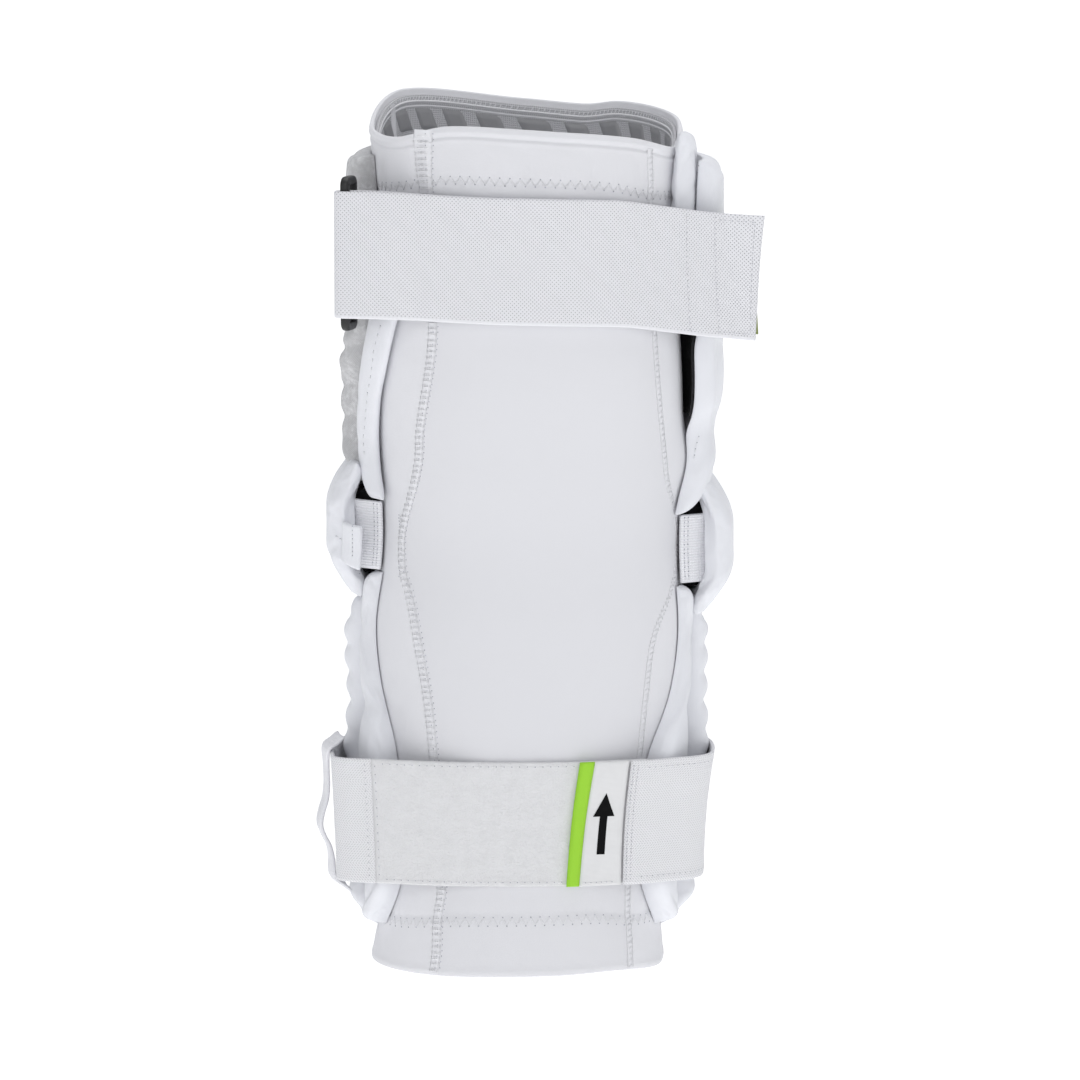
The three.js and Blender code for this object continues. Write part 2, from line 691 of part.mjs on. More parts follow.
// Lower strap: from the pad's left side through its slot keeper, over the sleeve, and on to the right side.
const lowerContact = seatGap + strapThickness / 2;
const forearmMost = (side) => forearmThickness * Math.max(...forearmTable.map((row) => row[side]));
const lowerLeftReach = seatGap + forearmMost('left') + lowerStrapClearance + pieceGap + strapThickness / 2;
const lowerRightReach = seatGap + forearmMost('right') + pieceGap * 2 + strapThickness / 2;
const lowerStrapTable = [
  { at: -200, left: 1.03, right: 0 },
  { at: -190, left: 1.02, right: 0 },
  { at: -180, left: 1.06, right: 0 },
  { at: -172, left: 1.15, right: 0 },
  { at: -163, left: 1.31, right: 0 },
  { at: -156, left: 1.44, right: 0 },
  { at: -145, left: 0.8, right: 0 },
  { at: -130, left: 0.36, right: 0 },
  { at: -115, left: 0.15, right: 0 },
  { at: -100, left: 0, right: 0 },
  { at: -70, left: 0, right: 0 },
  { at: -58, left: 0, right: 0.06 },
  { at: -46, left: 0, right: 0.25 },
  { at: -34, left: 0, right: 0.53 },
  { at: -24, left: 0, right: 0.96 },
  { at: -17, left: 0, right: 1.1 },
  { at: -8, left: 0, right: 1.03 },
  { at: 2, left: 0, right: 1.0 },
  { at: 12, left: 0, right: 1.0 },
];
function lowerStrapLine(angle, across) {
  const left = read(lowerStrapTable, 'left', angle) * (lowerLeftReach - lowerContact);
  const right = read(lowerStrapTable, 'right', angle) * (lowerRightReach - lowerContact);
  return lifted(angle, lowerStrapCentre + (across - 0.5) * strapWidth, lowerContact + left + right);
}
const lowerAt = (angle, side) => (across) => besideLine(lowerStrapLine, angle, across, side(angle), 0);
function lowerBand(name, start, end, side, thickness, height, colour) {
  const steps = Math.max(Math.ceil((end - start) / 5), 2);
  const path = [];
  for (let i = 0; i <= steps; i += 1) {
    const angle = mix(start, end, i / steps);
    path.push((across) => lowerAt(angle, side)(0.5 + (across - 0.5) * height));
  }
  addBand(name, path, thickness, 2, colour);
}

// The angle at which the lower strap's line crosses a place along X.
function angleAcross(x) {
  let low = -150;
  let high = -20;
  for (let i = 0; i < 40; i += 1) {
    const middle = (low + high) / 2;
    if (lowerStrapLine(middle, 0.5).x < x) low = middle;
    else high = middle;
  }
  return (low + high) / 2;
}
const pileStart = angleAcross(pileLeftEdge);
const gapAngle = 0.4;
const onPile = strapThickness / 2 + pieceGap + pullTabThickness / 2;
const tabStart = angleAcross(pullTabStart);
const tabEnd = angleAcross(pullTabEnd);
const edgeStart = angleAcross(pullTabStart - pullTabEdgeWidth);
const stepDown = strapThickness + layerGap;
lowerBand('lower_strap_left', -lowerStrapWrap, pileStart - gapAngle, () => 0, strapThickness, 1, white);
lowerBand('lower_pile_strip', pileStart, tabEnd + pileOverlap, () => 0, strapThickness, 1, white);
lowerBand('pull_tab_edge', edgeStart, tabStart - gapAngle, () => onPile, pullTabThickness, 1, green);
lowerBand('pull_tab', tabStart, tabEnd, () => onPile, pullTabThickness, 1, white);
const overPile = (angle) => stepDown * (1 - smooth(angle, tabEnd + stepStart, tabEnd + stepEnd));
lowerBand('lower_strap_right', tabEnd + gapAngle * 2, lowerStrapEnd, overPile, strapThickness, 1, white);

// Slot keeper at the left: a strip that runs up over the strap and bulges in its lower half.
const slotTable = [
  { at: 0, out: 0 },
  { at: 0.04, out: 0.5 },
  { at: 0.08, out: 1 },
  { at: 0.2, out: 1.04 },
  { at: 0.28, out: 1.18 },
  { at: 0.35, out: 1.5 },
  { at: 0.42, out: 1.68 },
  { at: 0.5, out: 1.52 },
  { at: 0.58, out: 1.24 },
  { at: 0.68, out: 1.08 },
  { at: 0.8, out: 1.04 },
  { at: 0.92, out: 1 },
  { at: 0.96, out: 0.5 },
  { at: 1, out: 0 },
];
const slotSeat = seatGap + forearmMost('left') + pieceGap + slotKeeperThickness / 2;
const slotReach = lowerContact + slotLift * (lowerLeftReach - lowerContact) + pieceGap * 2
  + (strapThickness + slotKeeperThickness) / 2;
const slotBottom = lowerStrapCentre - slotKeeperHeight / 2;
const slotPath = slotTable.map((row) => (across) => {
  const z = slotBottom + row.at * slotKeeperHeight;
  return lifted(slotAngle + (0.5 - across) * slotSpan, z, mix(slotSeat, slotReach, row.out));
});
addBand('lower_strap_keeper', slotPath, slotKeeperThickness, 1, white);

export default group;
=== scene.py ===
import math
import bmesh
import bpy
import numpy as np
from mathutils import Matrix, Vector
from mathutils.bvhtree import BVHTree


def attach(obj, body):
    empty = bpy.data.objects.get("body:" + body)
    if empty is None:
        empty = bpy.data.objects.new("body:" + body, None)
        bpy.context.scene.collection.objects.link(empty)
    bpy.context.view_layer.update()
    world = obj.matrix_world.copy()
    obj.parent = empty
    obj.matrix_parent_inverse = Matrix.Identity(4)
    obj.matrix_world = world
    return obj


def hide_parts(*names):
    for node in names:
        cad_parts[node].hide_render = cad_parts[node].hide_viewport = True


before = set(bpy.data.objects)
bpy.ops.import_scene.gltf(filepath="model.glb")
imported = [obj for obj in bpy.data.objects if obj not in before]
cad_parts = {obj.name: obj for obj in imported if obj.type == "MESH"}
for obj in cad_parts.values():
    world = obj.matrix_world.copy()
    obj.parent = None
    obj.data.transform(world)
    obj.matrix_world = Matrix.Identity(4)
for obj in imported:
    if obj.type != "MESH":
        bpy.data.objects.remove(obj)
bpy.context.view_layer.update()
scene = bpy.context.scene
mm = 0.001
random = np.random.default_rng(11)


# tables and places on the arm, in millimetres

def curveThrough(x, v, place):  # smooth through the values, or rows of points, that v gives at x
    spread = (..., *[None] * (v.ndim - 1))
    slope = np.empty_like(v)
    slope[1:-1] = (v[2:] - v[:-2]) / (x[2:] - x[:-2])[spread]
    for end, inner in ((0, 1), (-1, -2)):
        slope[end] = (v[end] - v[inner]) / (x[end] - x[inner])
    k = np.clip(np.searchsorted(x, place) - 1, 0, len(x) - 2)
    span = np.asarray(x[k + 1] - x[k])
    t = ((place - x[k]) / span)[spread]
    a = (2 * t**3 - 3 * t**2 + 1) * v[k] + (3 * t**2 - 2 * t**3) * v[k + 1]
    return a + ((t**3 - 2 * t**2 + t) * slope[k] + (t**3 - t**2) * slope[k + 1]) * span[spread]


def readRow(rows, column, at):
    x, v = np.asarray(rows["at"], float), np.asarray(rows[column], float)
    return curveThrough(x, v, np.clip(at, x[0], x[-1]))


def given(value, *places):  # a plain number, or a function of places
    return value(*places) if callable(value) else value


def mix(a, b, share):
    return a + (b - a) * share


def smooth(x, low, high):
    t = np.clip((x - low) / (high - low), 0, 1)
    return t * t * (3 - 2 * t)


def within(x, a, b, c, d):  # rises from a to b and falls from c to d
    return smooth(x, a, b) * (1 - smooth(x, c, d))


def bell(x, width):
    return np.exp(-(x / width) ** 2)


def power(value, exponent):
    return np.sign(value) * np.abs(value) ** exponent


sleeve = {
    "length": 343, "width": 124, "depth": 90, "wall": 1.6, "roundness": 2.3, "elbowBow": 8,
    "around": 330, "hemRise": 0.35, "wrinkle": 0.7, "rimRoll": 0.45, "bulge": 3.6,
}
sleeveRows = {
    "at": [-0.5, -0.42, -0.32, -0.2, -0.1, 0, 0.1, 0.2, 0.34, 0.42, 0.5],
    "width": [0.962, 0.91, 0.925, 0.99, 1.02, 0.985, 1.0, 1.005, 0.975, 0.985, 1.016],
    "depth": [0.93, 0.9, 0.91, 0.96, 0.98, 0.97, 1.0, 1.01, 0.99, 1.0, 1.03],
    "side": [-0.013, -0.002, 0, 0.012, 0.018, 0.028, 0.028, 0.026, 0.02, 0.016, 0.016],
    "bow": [0, 0.1, 0.3, 0.62, 0.88, 1, 0.9, 0.6, 0.2, 0.05, 0],
}
rimRows = {
    "at": [-180, -144, -115, -77, -52, -14, 4, 26, 55, 72, 141, 180],
    "top": [-0.009, -0.017, -0.002, -0.009, -0.016, -0.031, -0.008, 0.004, 0.012, 0.008, 0.028, -0.009],
    "bottom": [0, -0.002, -0.003, -0.001, 0.001, -0.004, 0.001, 0.003, 0.001, 0, 0.002, 0],
}


def wrapAngle(angle):
    return (np.asarray(angle, float) + 180) % 360 - 180


def topRim(angle):
    return sleeve["length"] * (0.5 + readRow(rimRows, "top", wrapAngle(angle)))


def bottomRim(angle):
    return -sleeve["length"] * (0.5 - readRow(rimRows, "bottom", wrapAngle(angle)))


def section(z):
    share = np.asarray(z, float) / sleeve["length"]
    halfWidth = readRow(sleeveRows, "width", share) * sleeve["width"] / 2
    halfDepth = readRow(sleeveRows, "depth", share) * sleeve["depth"] / 2
    side = readRow(sleeveRows, "side", share) * sleeve["width"]
    bow = readRow(sleeveRows, "bow", share) * sleeve["elbowBow"]
    return halfWidth, halfDepth, side, bow


def lifted(angle, z, lift=0.0):
    angle, z, lift = np.broadcast_arrays(*(np.asarray(v, float) for v in (angle, z, lift)))
    halfWidth, halfDepth, side, bow = section(z)
    c, s = np.cos(np.radians(angle)), np.sin(np.radians(angle))
    out = 2 / sleeve["roundness"]
    normalX, normalY = power(c, 2 - out) / halfWidth, power(s, 2 - out) / halfDepth
    size = np.hypot(normalX, normalY)
    x = side + halfWidth * power(c, out) + normalX / size * lift
    y = bow + halfDepth * power(s, out) + normalY / size * lift
    return np.stack([x, y, z], axis=-1)


def outward(angle, z):
    return lifted(angle, z, 1.0) - lifted(angle, z, 0.0)


def degreeSize(angle, z):
    return np.linalg.norm(lifted(angle + 1, z) - lifted(angle, z), axis=-1)


def nearAngle(x, z):  # the angle on the strap side at a place along X
    halfWidth, _, side, _ = section(z)
    return -np.degrees(np.arccos(np.clip(power((x - side) / halfWidth, sleeve["roundness"] / 2), -1, 1)))


# shader maths on sockets

class Wire:
    def __init__(self, tree, socket=None):
        self.tree, self.socket = tree, socket

    def add(self, kind, settings=None, out=0, sockets=None):
        made = self.tree.nodes.new(kind)
        for name, value in (settings or {}).items():
            if name == "stops":
                while len(made.color_ramp.elements) < len(value):
                    made.color_ramp.elements.new(0.5)
                for element, (place, colour) in zip(made.color_ramp.elements, value):
                    element.position, element.color = place, (*colour, 1)
            else:
                setattr(made, name, value)
        for key, value in (sockets or {}).items():
            if isinstance(value, Wire):
                self.tree.links.new(value.socket, made.inputs[key])
            else:
                made.inputs[key].default_value = value
        return Wire(self.tree, made.outputs[out])

    def math(self, operation, *values):
        return self.add("ShaderNodeMath", {"operation": operation}, 0, dict(enumerate(values)))

    def __add__(self, other):
        return self.math("ADD", self, other)

    __radd__ = __add__

    def __sub__(self, other):
        return self.math("SUBTRACT", self, other)

    def __rsub__(self, other):
        return self.math("SUBTRACT", other, self)

    def __mul__(self, other):
        return self.math("MULTIPLY", self, other)

    __rmul__ = __mul__

    def wave(self, pitch):
        return self.math("SINE", self * (2 * math.pi / pitch))

    def between(self, low, high):  # 0 below low, 1 above high
        return self.add("ShaderNodeMapRange", {"interpolation_type": "SMOOTHSTEP"}, 0,
                        {0: self, 1: low, 2: high, 3: 0.0, 4: 1.0})

    def blend(self, first, second):  # two colours, by this value
        return self.add("ShaderNodeMix", {"data_type": "RGBA"}, 2, {0: self, 6: first, 7: second})

    def noise(self, scale, detail=3.0, rough=0.5):
        return self.add("ShaderNodeTexNoise", None, 0,
                        {"Vector": self, "Scale": scale, "Detail": detail, "Roughness": rough})


def rgb(red, green, blue):  # a screen colour, 0 to 255, as a linear one
    def linear(v):
        v = v / 255
        return v / 12.92 if v <= 0.04045 else ((v + 0.055) / 1.055) ** 2.4
    return (linear(red), linear(green), linear(blue), 1.0)


def makeMaterial(name, colour, roughness, finish, constants):
    material = bpy.data.materials.new(name)
    material.use_nodes = True
    tree = material.node_tree
    shader = tree.nodes["Principled BSDF"]
    shader.inputs["Base Color"].default_value = colour
    shader.inputs["Roughness"].default_value = roughness
    for key, value in constants.items():
        shader.inputs[key].default_value = value
    wire = Wire(tree)
    weave = wire.add("ShaderNodeUVMap", {"uv_map": "weave"})  # in millimetres
    split = wire.add("ShaderNodeSeparateXYZ", None, 0, {0: weave}).socket.node
    place = wire.add("ShaderNodeTexCoord", None, 3)  # object space
    tint, height, depth, rough = finish(Wire(tree, split.outputs[0]), Wire(tree, split.outputs[1]), place, colour)
    bump = wire.add("ShaderNodeBump", None, 0, {"Strength": 1.0, "Distance": depth * mm, "Height": height})
    for made, socket in ((tint, "Base Color"), (rough, "Roughness"), (bump, "Normal")):
        if made:
            tree.links.new(made.socket, shader.inputs[socket])
    return material


def darker(colour, share):
    return (colour[0] * share, colour[1] * share, colour[2] * share, 1.0)


strapSide = 52.0  # where a strap's width ends, so that its selvedges stay plain
chevronTurn = 8.4


def stretchKnit(along, across, place, colour):
    stitch = along.wave(0.42) * across.wave(0.55)
    cloud = place.noise(60.0, 2.0)
    grain = place.noise(900.0, 2.0)
    panel = place.add("ShaderNodeAttribute", {"attribute_name": "panel"}, 2)
    tint = cloud.between(0.3, 0.75).blend(darker(colour, 0.975), colour)
    tint = panel.blend(tint, darker(colour, 0.945))
    return tint, stitch * 0.35 + grain * 0.5 + cloud * 0.8, 0.12, 0.72 + grain * 0.16


def padKnit(along, across, place, colour):
    stitch = along.wave(0.6) * across.wave(0.6)
    cloud = place.noise(90.0, 3.0)
    grain = place.noise(1100.0, 2.0)
    tint = cloud.between(0.3, 0.8).blend(darker(colour, 0.965), colour)
    return tint, stitch * 0.25 + grain * 0.5 + cloud * 1.4, 0.14, 0.66 + grain * 0.2


def heather(along, across, place, colour):
    fleck = place.noise(420.0, 6.0, 0.72)
    cloud = place.noise(150.0, 4.0, 0.6)
    stitch = along.wave(0.9) * across.wave(0.9)
    tint = fleck.between(0.36, 0.64).blend(darker(colour, 0.72), colour)
    tint = cloud.between(0.32, 0.66).blend(darker(colour, 0.74), tint)
    return tint, fleck + stitch * 0.3 + cloud, 0.3, 0.84 + fleck * 0.1


def birdEye(along, across, place, colour):  # small sunken dots in staggered rows, darkened with painted shade
    pitch = 1.6
    cell = along.wave(pitch) * across.wave(pitch)
    plain = across.math("PINGPONG", across, strapSide).between(2.1, 1.5)  # the selvedges have no dots
    outsideDots = place.math("MAXIMUM", cell.between(-0.95, -0.35), plain)
    yarn = (along + across).wave(0.75) * 0.5 + 0.5
    grain = place.noise(1200.0, 2.0)
    # painted shade darkens the sunken dots
    tint = outsideDots.blend(darker(colour, 0.58), colour)
    return tint, outsideDots * 0.8 + yarn * 0.3 + grain * 0.3, 0.26, 0.78 + grain * 0.12


def chevron(along, across, place, colour):  # herringbone that turns at even steps of the width
    fold = across.math("PINGPONG", across, chevronTurn)
    line = (along + fold * 0.9).wave(1.15)
    rung = across.wave(0.95)
    ridge = (line + rung * 0.35).between(-1.15, -0.35)
    grain = place.noise(1200.0, 2.0)
    # painted shade darkens the grooves between the ridges
    tint = ridge.blend(darker(colour, 0.76), colour)
    return tint, ridge * 0.8 + grain * 0.3, 0.22, 0.78 + grain * 0.12


def ribbed(along, across, place, colour):  # fine ribs across a narrow elastic
    rib = across.wave(1.1)
    loop = along.wave(1.3)
    grain = place.noise(1200.0, 2.0)
    # painted shade darkens the troughs between the ribs
    tint = rib.between(-1.0, -0.6).blend(darker(colour, 0.9), colour)
    return tint, rib * 0.6 + loop * 0.35 + grain * 0.3, 0.13, 0.8 + grain * 0.1


def loopPile(along, across, place, colour):
    tuft = place.noise(1500.0, 5.0, 0.75)
    cloud = place.noise(170.0, 4.0, 0.65)
    thread = place.noise(620.0, 3.0)
    tint = (tuft * 0.6 + cloud * 0.4).between(0.36, 0.6).blend(darker(colour, 0.93), colour)
    return tint, tuft * 1.3 + thread * 0.9 + cloud * 0.8, 0.5, 0.86 + tuft * 0.1


def satin(along, across, place, colour):
    rib = across.wave(0.5)
    cloud = place.noise(140.0, 2.0)
    tint = cloud.between(0.3, 0.7).blend(darker(colour, 0.96), colour)
    return tint, rib * 0.25 + cloud * 0.9, 0.12, 0.36 + cloud * 0.12


def woven(along, across, place, colour):
    cell = along.wave(0.7) * across.wave(0.55)
    # painted shade darkens the low cells of the weave
    tint = cell.between(-0.6, 0.1).blend(darker(colour, 0.9), colour)
    return tint, cell, 0.1, 0.6 + cell * 0.05


def gripMesh(along, across, place, colour):
    first = (along + across).wave(1.7)
    second = (along - across).wave(1.7)
    hole = (first * second).between(0.25, 0.75)
    grain = place.noise(900.0, 2.0)
    # painted shade darkens the holes of the mesh
    tint = hole.blend(colour, darker(colour, 0.55))
    return tint, 1 - hole + grain * 0.3, 0.35, 0.7 + grain * 0.1


def silicone(along, across, place, colour):
    cloud = place.noise(300.0, 2.0)
    return None, cloud, 0.08, 0.3 + cloud * 0.1


def brushed(along, across, place, colour):
    grain = place.noise(1000.0, 4.0, 0.7)
    tint = grain.between(0.4, 0.7).blend(colour, darker(colour, 1.9))
    return tint, grain, 0.3, 0.85 + grain * 0.1


def moulded(along, across, place, colour):
    grain = place.noise(1400.0, 2.0)
    wear = place.noise(260.0, 3.0)
    tint = wear.between(0.45, 0.8).blend(colour, darker(colour, 1.7))
    return tint, grain, 0.05, 0.34 + wear * 0.22


def yarnTwist(along, across, place, colour):
    twist = (along + across * 0.8).wave(0.5)
    return None, twist, 0.06, 0.6 + twist * 0.05


surfaces = {  # material, screen colour, roughness, finish, the record's slot, other sockets
    "sleeve": ("stretchKnitWhite", (229, 229, 233), 0.8, stretchKnit, "sleeve_fabric", {"Sheen Weight": 0.15}),
    "pad": ("foamBackedKnit", (230, 231, 236), 0.75, padKnit, "pad_fabric", {"Sheen Weight": 0.2}),
    "heather": ("heatherKnit", (214, 214, 216), 0.9, heather, "heather_fabric", {"Sheen Weight": 0.2}),
    "birdEye": ("birdEyeElastic", (228, 228, 232), 0.8, birdEye, "knit_elastic", {}),
    "chevron": ("chevronElastic", (230, 230, 233), 0.8, chevron, "knit_elastic", {}),
    "ribbed": ("ribbedElastic", (236, 236, 240), 0.85, ribbed, "knit_elastic", {}),
    "pile": ("loopPile", (234, 234, 236), 0.9, loopPile, "loop_pile", {"Sheen Weight": 0.3}),
    "satin": ("satinLabel", (222, 222, 223), 0.45, satin, "satin_tab", {}),
    "green": ("greenWovenEdge", (166, 228, 52), 0.6, woven, "green_edge", {}),
    "olive": ("oliveHookTape", (143, 154, 88), 0.7, woven, "hook_tape", {}),
    "mesh": ("gripMesh", (204, 204, 208), 0.8, gripMesh, "gripper_mesh", {}),
    "silicone": ("greySilicone", (146, 146, 149), 0.45, silicone, "gripper_mesh", {}),
    "lining": ("blackBrushedLining", (20, 20, 23), 0.9, brushed, "black_lining", {"Sheen Weight": 0.1}),
    "plastic": ("blackMouldedPlastic", (24, 24, 26), 0.4, moulded, "black_plastic", {}),
    "thread": ("whiteThread", (240, 240, 243), 0.6, yarnTwist, "sleeve_fabric", {}),
    # needle holes: discs coloured with painted shade
    "hole": ("needleHoleShade", (150, 151, 160), 0.9, brushed, None, {}),
    "ink": ("blackInk", (8, 8, 10), 1.0, woven, None, {"Specular IOR Level": 0.1}),
}
finishes, slots = {}, {}
for key, (name, colour, roughness, finish, slot, more) in surfaces.items():
    finishes[key], slots[key] = makeMaterial(name, rgb(*colour), roughness, finish, more), slot


# meshes from grids of points

def pathLength(points, axis):
    steps = np.linalg.norm(np.diff(points, axis=axis), axis=-1)
    return np.concatenate([[0], np.cumsum(steps.mean(axis=1 - axis))])


def gridMesh(name, grid, finish, closedU=False, closedV=False, capEnds=False, **more):
    countU, countV = grid.shape[:2]
    full = grid
    if closedU:
        full = np.concatenate([full, full[:1]], axis=0)
    if closedV:
        full = np.concatenate([full, full[:, :1]], axis=1)
    u, v = pathLength(full, 0), pathLength(full, 1)
    i, k = np.meshgrid(np.arange(full.shape[0] - 1), np.arange(full.shape[1] - 1), indexing="ij")
    i, k = i.ravel(), k.ravel()
    nextI, nextK = (i + 1) % countU, (k + 1) % countV
    faces = np.stack([i * countV + k, nextI * countV + k, nextI * countV + nextK, i * countV + nextK], axis=1)
    uv = np.stack([np.stack([u[i], v[k]], 1), np.stack([u[i + 1], v[k]], 1),
                   np.stack([u[i + 1], v[k + 1]], 1), np.stack([u[i], v[k + 1]], 1)], axis=1)
    if capEnds:  # closes each end of a ring of countV points as a narrow strip
        half = countV // 2
        a = np.arange(half - 1)
        for end, flip in ((0, False), (countU - 1, True)):
            strip = np.stack([end * countV + a, end * countV + a + 1,
                              end * countV + countV - 2 - a, end * countV + countV - 1 - a], axis=1)
            near = u[[end] * len(a)]
            stripUv = np.stack([np.stack([near, v[a]], 1), np.stack([near, v[a + 1]], 1),
                                np.stack([near + 1, v[a + 1]], 1), np.stack([near + 1, v[a]], 1)], axis=1)
            if flip:
                strip, stripUv = strip[:, ::-1], stripUv[:, ::-1]
            faces, uv = np.concatenate([faces, strip]), np.concatenate([uv, stripUv])
    return meshPiece(name, grid.reshape(-1, 3), faces, uv.reshape(-1, 2), finish, **more)


def meshPiece(name, points, faces, uv, finish, subdivide=0, values=None):
    mesh = bpy.data.meshes.new(name)
    mesh.from_pydata((points * mm).tolist(), [], faces.tolist())
    mesh.uv_layers.new(name="weave").data.foreach_set("uv", np.asarray(uv, np.float32).ravel())
    for key, value in (values or {}).items():
        mesh.attributes.new(key, "FLOAT", "POINT").data.foreach_set("value", np.asarray(value, np.float32).ravel())
    mesh.polygons.foreach_set("use_smooth", [True] * len(mesh.polygons))
    mesh.validate()
    made = bpy.data.objects.new(name, mesh)
    scene.collection.objects.link(made)
    made.data.materials.append(finishes[finish])
    if subdivide:
        made.modifiers.new("smoothing", "SUBSURF").levels = subdivide
        made.modifiers["smoothing"].render_levels = subdivide
    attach(made, "root")
    return made


def faceOut(made):
    work = bmesh.new()
    work.from_mesh(made.data)
    bmesh.ops.recalc_face_normals(work, faces=work.faces)
    work.to_mesh(made.data)
    work.free()


# stitches: many short arched threads in one mesh

thread = {"sink": 0.12, "tip": 0.45, "steps": 5, "sides": 5}


def stitches(name, start, end, normal, radius, rise):
    sink, steps, sides = thread["sink"], thread["steps"], thread["sides"]
    start, end, normal = np.asarray(start), np.asarray(end), np.asarray(normal)
    t = np.linspace(0, 1, steps)[None, :, None]
    arch = 4 * t * (1 - t)
    path = start[:, None] * (1 - t) + end[:, None] * t + normal[:, None] * (arch * (rise + sink) - sink)
    along = end - start
    along = along / np.maximum(np.linalg.norm(along, axis=1, keepdims=True), 1e-6)
    across = np.cross(along, normal)
    across /= np.maximum(np.linalg.norm(across, axis=1, keepdims=True), 1e-6)
    up = np.cross(across, along)
    angle = np.linspace(0, 2 * np.pi, sides, endpoint=False)
    thin = thread["tip"] + (1 - thread["tip"]) * np.sqrt(arch)
    ring = (np.cos(angle)[None, None, :, None] * across[:, None, None] +
            np.sin(angle)[None, None, :, None] * up[:, None, None]) * radius * thin[..., None]
    base = (np.arange(len(start)) * steps * sides)[:, None, None]
    j, s = np.arange(steps - 1)[None, :, None], np.arange(sides)[None, None, :]
    nextS = (s + 1) % sides
    a, b = base + j * sides + s, base + j * sides + nextS
    faces = np.stack([a, b, b + sides, a + sides], axis=-1).reshape(-1, 4)
    uv = np.tile([[0, 0], [0, 0.3], [0.6, 0.3], [0.6, 0]], (len(faces), 1))
    meshPiece(name, (path[:, :, None] + ring).reshape(-1, 3), faces, uv, "thread")


# dark discs of painted shade, laid just over the surface where needle holes are
def holeShades(name, centre, normal, radius, lift=0.06):
    centre, normal = np.asarray(centre), np.asarray(normal)
    side = np.cross(normal, (0.0, 0.0, 1.0))
    side /= np.maximum(np.linalg.norm(side, axis=1, keepdims=True), 1e-6)
    up = np.cross(side, normal)
    angle = np.linspace(0, 2 * np.pi, 8, endpoint=False)
    ring = centre[:, None] + normal[:, None] * lift + radius * (
        np.cos(angle)[None, :, None] * side[:, None] + np.sin(angle)[None, :, None] * up[:, None])
    faces = np.arange(len(centre) * 8).reshape(-1, 8)[:, ::-1]
    meshPiece(name, ring.reshape(-1, 3), faces, np.zeros((faces.size, 2)), "hole")


look = math.radians(8)  # the strap side is seen from a little above


def frontRow(name, pieces, places, pitch, share=0.6):  # a stitched row, by places seen from the front
    depsgraph = bpy.context.evaluated_depsgraph_get()
    trees = [BVHTree.FromObject(piece, depsgraph) for piece in pieces]
    places = np.array(places, float)
    run = np.concatenate([[0], np.cumsum(np.linalg.norm(np.diff(places, axis=0), axis=1))])
    ahead = Vector((0, math.cos(look), -math.sin(look)))

    def hit(at):
        x, v = np.interp(at, run, places[:, 0]), np.interp(at, run, places[:, 1])
        origin = Vector((x, v * math.sin(look), v * math.cos(look))) * mm - ahead * 0.5
        found = [tree.ray_cast(origin, ahead) for tree in trees]
        found = [one for one in found if one[0] is not None]
        return min(found, key=lambda one: one[3]) if found else None
    starts, ends, normals = [], [], []
    for at in np.arange(0, run[-1], pitch):
        first, second = hit(at), hit(min(at + pitch * share, run[-1]))
        if first and second:
            starts.append(first[0] / mm)
            ends.append(second[0] / mm)
            normals.append(first[1])
    stitches(name, starts, ends, normals, radius=0.15, rise=0.12)
    holeShades(name + "_holes", starts, normals, 0.26)


# the sleeve

seatGap, pieceGap = 0.55, 0.3
leftSeamRows = {
    "at": [-173, -163.8, -150.2, -138.1, -86.7, -62.3, -36.5, -20.4, -12.9, -7.2, 3.3, 12.4,
           26.7, 36.3, 48.2, 62.8, 77.5, 89.8, 145.5, 170],
    "x": [-34, -32.8, -32.4, -30.8, -33.7, -36, -40.6, -43.8, -46.2, -47.3, -47.3, -45.6,
          -41.6, -39.8, -39.2, -37, -34.8, -34, -35.2, -35.2],
}
rightSeamRows = {
    "at": [-173, -165.6, -140.7, -109.6, -77.3, -61.2, -37.3, -18.8, -7.4, 4.4, 15.7,
           26.5, 39, 59.7, 86.4, 143.5, 165],
    "x": [44, 44, 43.2, 46, 48.8, 50.4, 53.6, 61.2, 63.0, 63.2, 61.2, 58.8, 57.6, 55.6, 53.6, 51.6, 51],
}
seams = {
    "leftLow": -171, "leftHigh": 169.5, "pitch": 2.35, "tapeWidth": 3.6, "tapeRise": 0.5625,
    "rightLow": -171, "rightHigh": 162, "rightPitch": 1.5, "rightApart": 2.6, "crossPitch": 2.4,
}
tack = {"x": -48.6, "sway": 0.15, "low": -13, "high": 13, "pitch": 1.25, "before": 1.6, "after": 1.4, "hole": 1.9}
hemRows = {"at": [-180, -147, -118, -90, -60, -40, -10, 60, 130, 180],
           "top": [146, 146.4, 150, 149.3, 147.2, 143.5, 142.5, 149, 152, 146],
           "bottom": [-152, -152, -149.4, -148.4, -148.3, -150.6, -150.6, -150, -151, -152]}


def leftSeam(z):
    return nearAngle(readRow(leftSeamRows, "x", z), z)


def rightSeam(z):
    return nearAngle(readRow(rightSeamRows, "x", z), z)


def hemTop(angle):
    return readRow(hemRows, "top", wrapAngle(angle))


def hemBottom(angle):
    return readRow(hemRows, "bottom", wrapAngle(angle))


folds = [(-152, 5, 0.7), (-131, 3, -0.9), (-124, 2.4, 0.8), (-113, 4, -0.5), (-97, 3, 0.45), (-90, 2.6, -0.5),
         (-79, 4, 0.5), (-68, 2.5, -0.45), (-58, 3, 0.5), (-45, 3, -0.4), (-30, 5, 0.5), (25, 8, -0.5),
         (60, 9, 0.6), (100, 8, -0.6), (140, 7, 0.5), (170, 6, -0.5)]


def elbowBulge(angle, z):  # where the sleeve fills out below the gap beside the right edge
    return sleeve["bulge"] * bell(z - 31, 13) * bell(wrapAngle(angle) + 5, 15)


